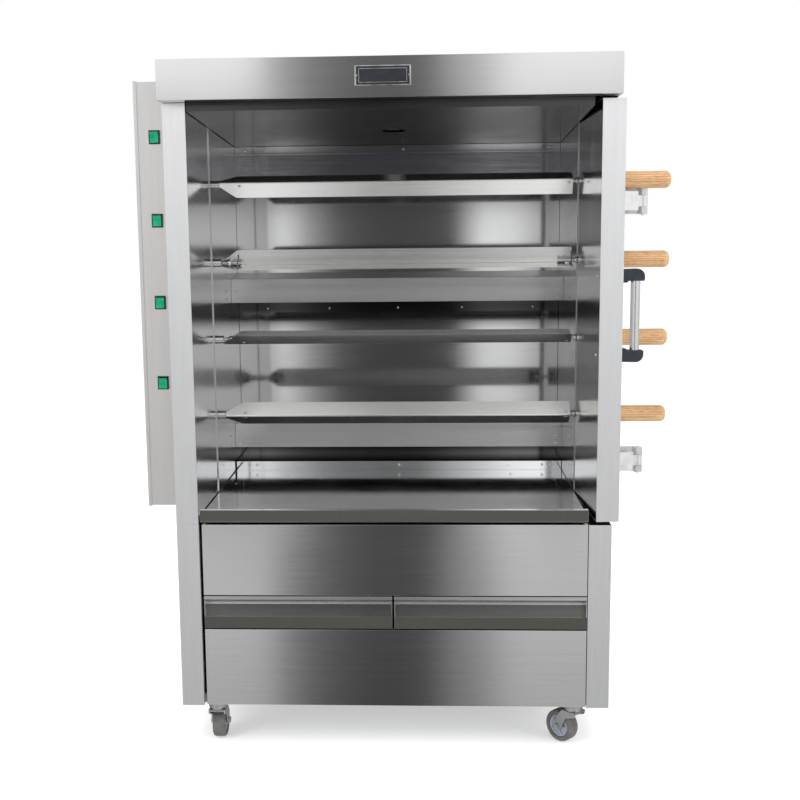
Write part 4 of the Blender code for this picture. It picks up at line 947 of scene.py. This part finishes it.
# ---- side door
DOOR_FACE = CENTRE_X + 0.4878      # the shut door's outer face
PULL_SCREW_X = CENTRE_X + 0.4375   # its inner sheet, where the pull is screwed on
HINGE_BOLT_RISE = 0.0165


def build_door():
    """The side wall that swings out, its D-shaped pull and its two hinges."""
    softened("side_door_shell", POST_STEEL, 0.0007)
    softened("side_door_liner", WALL_STEEL, 0.0005)
    hinge = pivot("side_door_hinge")
    ajar = Matrix.Translation(hinge) @ rotation(REST_YAW, "Z") @ Matrix.Translation(-hinge)

    # The door's own drawing has it shut; everything is then turned about the hinge line.
    face = DOOR_FACE
    pull_low, pull_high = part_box("door_pull_handle")
    middle_z = (pull_low.z + pull_high.z) / 2
    half = (pull_high.z - pull_low.z) / 2
    pull_y = POST_FRONT + 0.037
    reach = 0.052
    corner = 0.017
    brackets = []
    for side in (1.0, -1.0):
        outline = [
            (face, half - 0.0010),
            *arc((face + reach - corner, half - corner), corner, 90.0, 0.0, 12),
            (face + reach, half - 0.0235),
            *arc((face + reach - 0.0030, half - 0.0235), 0.0030, -20.0, -90.0, 3),
            (face + 0.0190, half - 0.0265),
            *arc((face + 0.0190, half - 0.0305), 0.0045, 100.0, 170.0, 4),
            (face + 0.0100, half - 0.0302),
            (face, half - 0.0302),
        ]
        points = [(x, middle_z + side * z) for x, z in outline]
        bracket = prism(points, "Y", pull_y - 0.0125, pull_y + 0.0125)
        brackets.append(rounded(bracket, 0.0016, 3, 40.0))
    both = moved(gathered(*brackets), ajar)
    piece("pull_brackets", both, BLACK_PLASTIC, "side_door", ("door_pull_handle",))
    grip_half = half - 0.0250
    profile = bar(middle_z - grip_half, middle_z + grip_half, 0.0103)
    grip = moved(lathe(profile, "Z", (face + 0.034, pull_y, 0.0), 48), ajar)
    bar_steel = brushed("bar_steel", 0.70, 0.26, "Z", 0.4, 0.03)
    piece("pull_bar", grip, bar_steel, "side_door")
    places = []
    turn = ajar.to_3x3()
    for sign in (1.0, -1.0):
        point = ajar @ Vector((PULL_SCREW_X, pull_y, middle_z + sign * (half - 0.016)))
        places.append((point, turn @ Vector((-1.0, 0.0, 0.0))))
    fixings("pull_screws", screw_shape(0.0042, 0.0018), places, "side_door")
    build_hinges(ajar)


def build_hinges(ajar):
    """Cast lift-off hinges: ribbed arms on the door, two-eared brackets behind, bolted feet, domed pins."""
    outward = Vector((1.0, 0.0, 0.0))
    face = DOOR_FACE + 0.005
    rises = (-HINGE_BOLT_RISE, HINGE_BOLT_RISE)
    for level in LEVELS:
        for node in ("hinge_arm_" + level, "hinge_bracket_" + level):
            stand_in(node, rounded(node_shape(node), 0.0009, 3, 34.0), CAST_ALLOY, 40.0)
        start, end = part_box("hinge_bracket_" + level)
        middle = (start.z + end.z) / 2
        places = [((face, POST_FRONT + 0.3285, middle + z), outward) for z in rises]
        fixings("hinge_bolts_" + level, hex_bolt_shape(0.0042, 0.0036), places, "frame")
        places = [(ajar @ Vector((face, POST_FRONT + 0.2290, middle + z)), ajar.to_3x3() @ outward)
                  for z in rises]
        fixings("hinge_arm_bolts_" + level, hex_bolt_shape(0.0036, 0.0032), places, "side_door")


# ---- casters
def build_casters():
    """Pressed forks on ball races, grey tyres on moulded hubs, and bolted plates under the floor."""
    half = 0.015
    face = half - 0.0025
    shoulder = arc((half - 0.0055, 0.0320), 0.0055, 90.0, 0.0, 6)
    groove = [(half, 0.0270), (half - 0.0030, 0.0258), (half - 0.0030, 0.0245)]
    tyre = [(-half, 0.0270), *mirrored(shoulder), *shoulder, *groove, *mirrored(groove)[:-1]]
    dish = [(face, 0.0250), (face, 0.0215), (face - 0.0030, 0.0195), (face - 0.0030, 0.0125),
            (face - 0.0008, 0.0105), (face + 0.0015, 0.0095), (face + 0.0015, 0.0049)]
    bolt_z = low("base_bottom").z + 0.0235
    bolts = []
    for k in CASTERS:
        swivel = pivot(f"caster_{k}_swivel")
        along = Vector(JOINTS[f"caster_{k}_roll"]["axis"]).normalized()
        heading = Matrix.Rotation(math.atan2(along.y, along.x), 4, "Z")
        at_axle = Matrix.Translation(pivot(f"caster_{k}_roll")) @ heading

        tread = moved(lathe(tyre, "X", segments=72, ring=True), at_axle)
        stand_in(f"caster_wheel_{k}", tread, TYRE_RUBBER, 40.0)

        parts = [lathe(mirrored(dish) + dish, "X", segments=60, ring=True)]
        for i in range(5):
            rib = block((-face, -0.0014, 0.0110), (face, 0.0014, 0.0225), 0.0005)
            parts.append(moved(rib, rotation(72.0 * i + 18.0, "X")))
        hub = moved(gathered(*parts), at_axle)
        piece(f"caster_hub_{k}", hub, HUB_PLASTIC, f"caster_roll_{k}")

        fork = f"caster_fork_{k}"
        stand_in(fork, rounded(node_shape(fork), 0.0006, 2, 34.0), ZINC)
        bolts += [((swivel.x + x, swivel.y + y, bolt_z), (0.0, 0.0, -1.0))
                  for x in (-0.0355, 0.0355) for y in (-0.024, 0.031)]
    fixings("caster_plate_bolts", hex_bolt_shape(0.0040, 0.0030), bolts, "frame")


# ---- studio
def build_floor():
    """A plain pale floor that reflections don't see, so that the steel shows the studio's own tones."""
    shape = bmesh.new()
    bmesh.ops.create_grid(shape, x_segments=1, y_segments=1, size=40.0)
    mesh = bpy.data.meshes.new("floor")
    shape.to_mesh(mesh)
    shape.free()
    floor = in_scene("floor", mesh)
    made, tree, shader = shader_of("pale_floor")
    set_inputs(shader, Base_Color=(0.93, 0.93, 0.93, 1.0), Roughness=0.95, Specular_IOR_Level=0.0)
    set_inputs(shader, Emission_Color=(1.0, 1.0, 1.0, 1.0), Emission_Strength=0.30)
    mesh.materials.append(made)
    floor.visible_glossy = False


BRIGHTEST = 1.5                    # radiance that the ramps' whitest colour stands for
OVEN_MIDDLE = Vector((0.0, 0.0, 0.9))


def build_world():
    """A studio of soft light: bright to both sides, dark behind the camera and dimmer near the floor."""
    world = bpy.data.worlds.new("studio")
    bpy.context.scene.world = world
    world.use_nodes = True
    tree = world.node_tree
    background = tree.nodes["Background"]
    where = tree.nodes.new("ShaderNodeTexCoord")
    parts = tree.nodes.new("ShaderNodeSeparateXYZ")
    tree.links.new(where.outputs["Generated"], parts.inputs["Vector"])
    ahead = combine(tree, "MULTIPLY", parts.outputs["Y"], -1.0)
    azimuth = combine(tree, "ARCTAN2", parts.outputs["X"], ahead)

    # Degrees from the way the oven faces, positive to its right, and the light there. The oven's rear
    # wall mirrors the room at its own height, and the hood and base mirror it above and below that.
    outer_sides = (
        (-180.0, 0.60), (-100.0, 0.70), (-60.0, 0.95), (-25.0, 1.00), (-14.0, 1.00), (-8.6, 0.98),
        (-7.5, 0.62), (-6.8, 0.32), (-5.0, 0.19), (-2.4, 0.12), (-0.4, 0.13), (0.9, 0.19), (1.6, 0.50),
        (3.4, 0.60), (4.0, 0.92), (5.6, 1.00), (9.0, 0.96), (11.0, 0.86), (16.0, 1.00), (25.0, 1.00),
        (60.0, 0.95), (100.0, 0.70), (180.0, 0.60),
    )
    level_sides = (
        (-180.0, 0.60), (-100.0, 0.70), (-60.0, 1.00), (-22.0, 1.00), (-17.0, 0.30), (-8.3, 0.22),
        (-7.6, 0.12), (-7.3, 0.95), (-6.4, 1.00), (-5.8, 0.42), (-4.6, 0.13), (-2.4, 0.07), (1.4, 0.08),
        (2.0, 0.60), (2.8, 1.00), (3.3, 0.62), (3.9, 0.95), (5.2, 1.00), (5.8, 0.35), (7.2, 0.25),
        (8.6, 0.80), (13.0, 0.85), (22.0, 1.00), (60.0, 1.00), (100.0, 0.70), (180.0, 0.60),
    )
    turned_share = combine(tree, "ADD", combine(tree, "DIVIDE", azimuth, 2 * math.pi), 0.5)
    outer = grey_ramp(tree, turned_share, outer_sides, -180.0, 360.0)
    level = grey_ramp(tree, turned_share, level_sides, -180.0, 360.0)
    height_share = combine(tree, "ADD", combine(tree, "MULTIPLY", parts.outputs["Z"], 0.5), 0.5)
    wall_heights = ((-0.235, 0.0), (-0.205, 1.0), (0.075, 1.0), (0.098, 0.0))
    band = grey_ramp(tree, height_share, wall_heights, -1.0, 2.0)
    sideways_mix = tree.nodes.new("ShaderNodeMix")
    sideways_mix.data_type = "RGBA"
    tree.links.new(band, sideways_mix.inputs["Factor"])
    tree.links.new(outer, sideways_mix.inputs["A"])
    tree.links.new(level, sideways_mix.inputs["B"])
    sideways = sideways_mix.outputs["Result"]

    heights = (
        (-1.0, 1.15), (-0.62, 1.10), (-0.52, 0.45), (-0.40, 0.48), (-0.34, 0.62), (-0.27, 0.74),
        (-0.15, 0.84), (-0.03, 1.05), (0.06, 1.28), (0.25, 1.35), (0.50, 1.15), (1.0, 1.0),
    )
    rising = grey_ramp(tree, height_share, [(z, v / BRIGHTEST) for z, v in heights], -1.0, 2.0)
    room = multiplied(tree, sideways, rising)

    # A dark band just above eye level, which the top of the oven's rear wall mirrors.
    across = ((-17.0, 0.0), (-14.0, 1.0), (13.0, 1.0), (16.0, 0.0))
    upright = ((0.012, 0.0), (0.040, 1.0), (0.075, 1.0), (0.098, 0.0))
    lintel_height = grey_ramp(tree, height_share, upright, -1.0, 2.0)
    lintel_width = grey_ramp(tree, turned_share, across, -180.0, 360.0)
    lintel = combine(tree, "MULTIPLY", combine(tree, "MULTIPLY", lintel_height, lintel_width), 0.97)
    shade = tree.nodes.new("ShaderNodeMix")
    shade.data_type = "RGBA"
    shade.inputs["B"].default_value = (0.03, 0.03, 0.035, 1.0)
    tree.links.new(lintel, shade.inputs["Factor"])
    tree.links.new(room, shade.inputs["A"])
    tree.links.new(shade.outputs["Result"], background.inputs["Color"])
    background.inputs["Strength"].default_value = BRIGHTEST

    plain = added(tree, "Background", Color=(1.0, 1.0, 1.0, 1.0))
    seen = tree.nodes.new("ShaderNodeLightPath")
    either = tree.nodes.new("ShaderNodeMixShader")
    tree.links.new(seen.outputs["Is Camera Ray"], either.inputs["Fac"])
    tree.links.new(background.outputs["Background"], either.inputs[1])
    tree.links.new(plain.outputs["Background"], either.inputs[2])
    tree.links.new(either.outputs["Shader"], tree.nodes["World Output"].inputs["Surface"])


def area_light(name, location, width, height, power):
    """A soft light that faces the oven's middle and isn't seen in the steel."""
    data = bpy.data.lights.new(name, "AREA")
    data.shape = "RECTANGLE"
    data.size = width
    data.size_y = height
    data.energy = power
    lamp = in_scene(name, data)
    lamp.location = location
    lamp.rotation_euler = (OVEN_MIDDLE - Vector(location)).to_track_quat("-Z", "Y").to_euler()
    lamp.visible_glossy = False


def build_lights():
    area_light("overhead_softbox", (0.0, -0.6, 3.6), 3.0, 2.4, 60.0)
    area_light("left_softbox", (-2.6, -2.4, 2.2), 1.4, 2.2, 45.0)
    area_light("right_softbox", (2.8, -1.8, 2.0), 1.4, 2.2, 40.0)


def build_camera():
    """Stands a little right of centre, above the oven's middle, looking slightly down and left."""
    yaw = math.radians(2.568)
    pitch = math.radians(8.184)
    roll = math.radians(-0.616)
    forward = Vector((-math.sin(yaw) * math.cos(pitch), math.cos(yaw) * math.cos(pitch), -math.sin(pitch)))
    right = Vector((math.cos(yaw), math.sin(yaw), 0.0))
    up = right.cross(forward)
    across = right * math.cos(roll) + up * math.sin(roll)
    upward = -right * math.sin(roll) + up * math.cos(roll)
    data = bpy.data.cameras.new("camera")
    data.sensor_width = 36.0
    data.lens = 52.18
    data.shift_x = 0.0319
    camera = in_scene("camera", data)
    turn = Matrix((across, upward, -forward)).transposed().to_4x4()
    place = Vector((CENTRE_X + 0.0763, POST_FRONT - 2.5281, 1.182))
    camera.matrix_world = Matrix.Translation(place) @ turn
    bpy.context.scene.camera = camera


build_camera()
build_cabinet()
build_fixings()
build_nameplate()
build_flue()
build_burners()
build_taps()
build_motor_housing()
build_switches()
build_spits()
build_door()
build_casters()
build_floor()
build_world()
build_lights()
bpy.context.scene.view_settings.view_transform = "Standard"
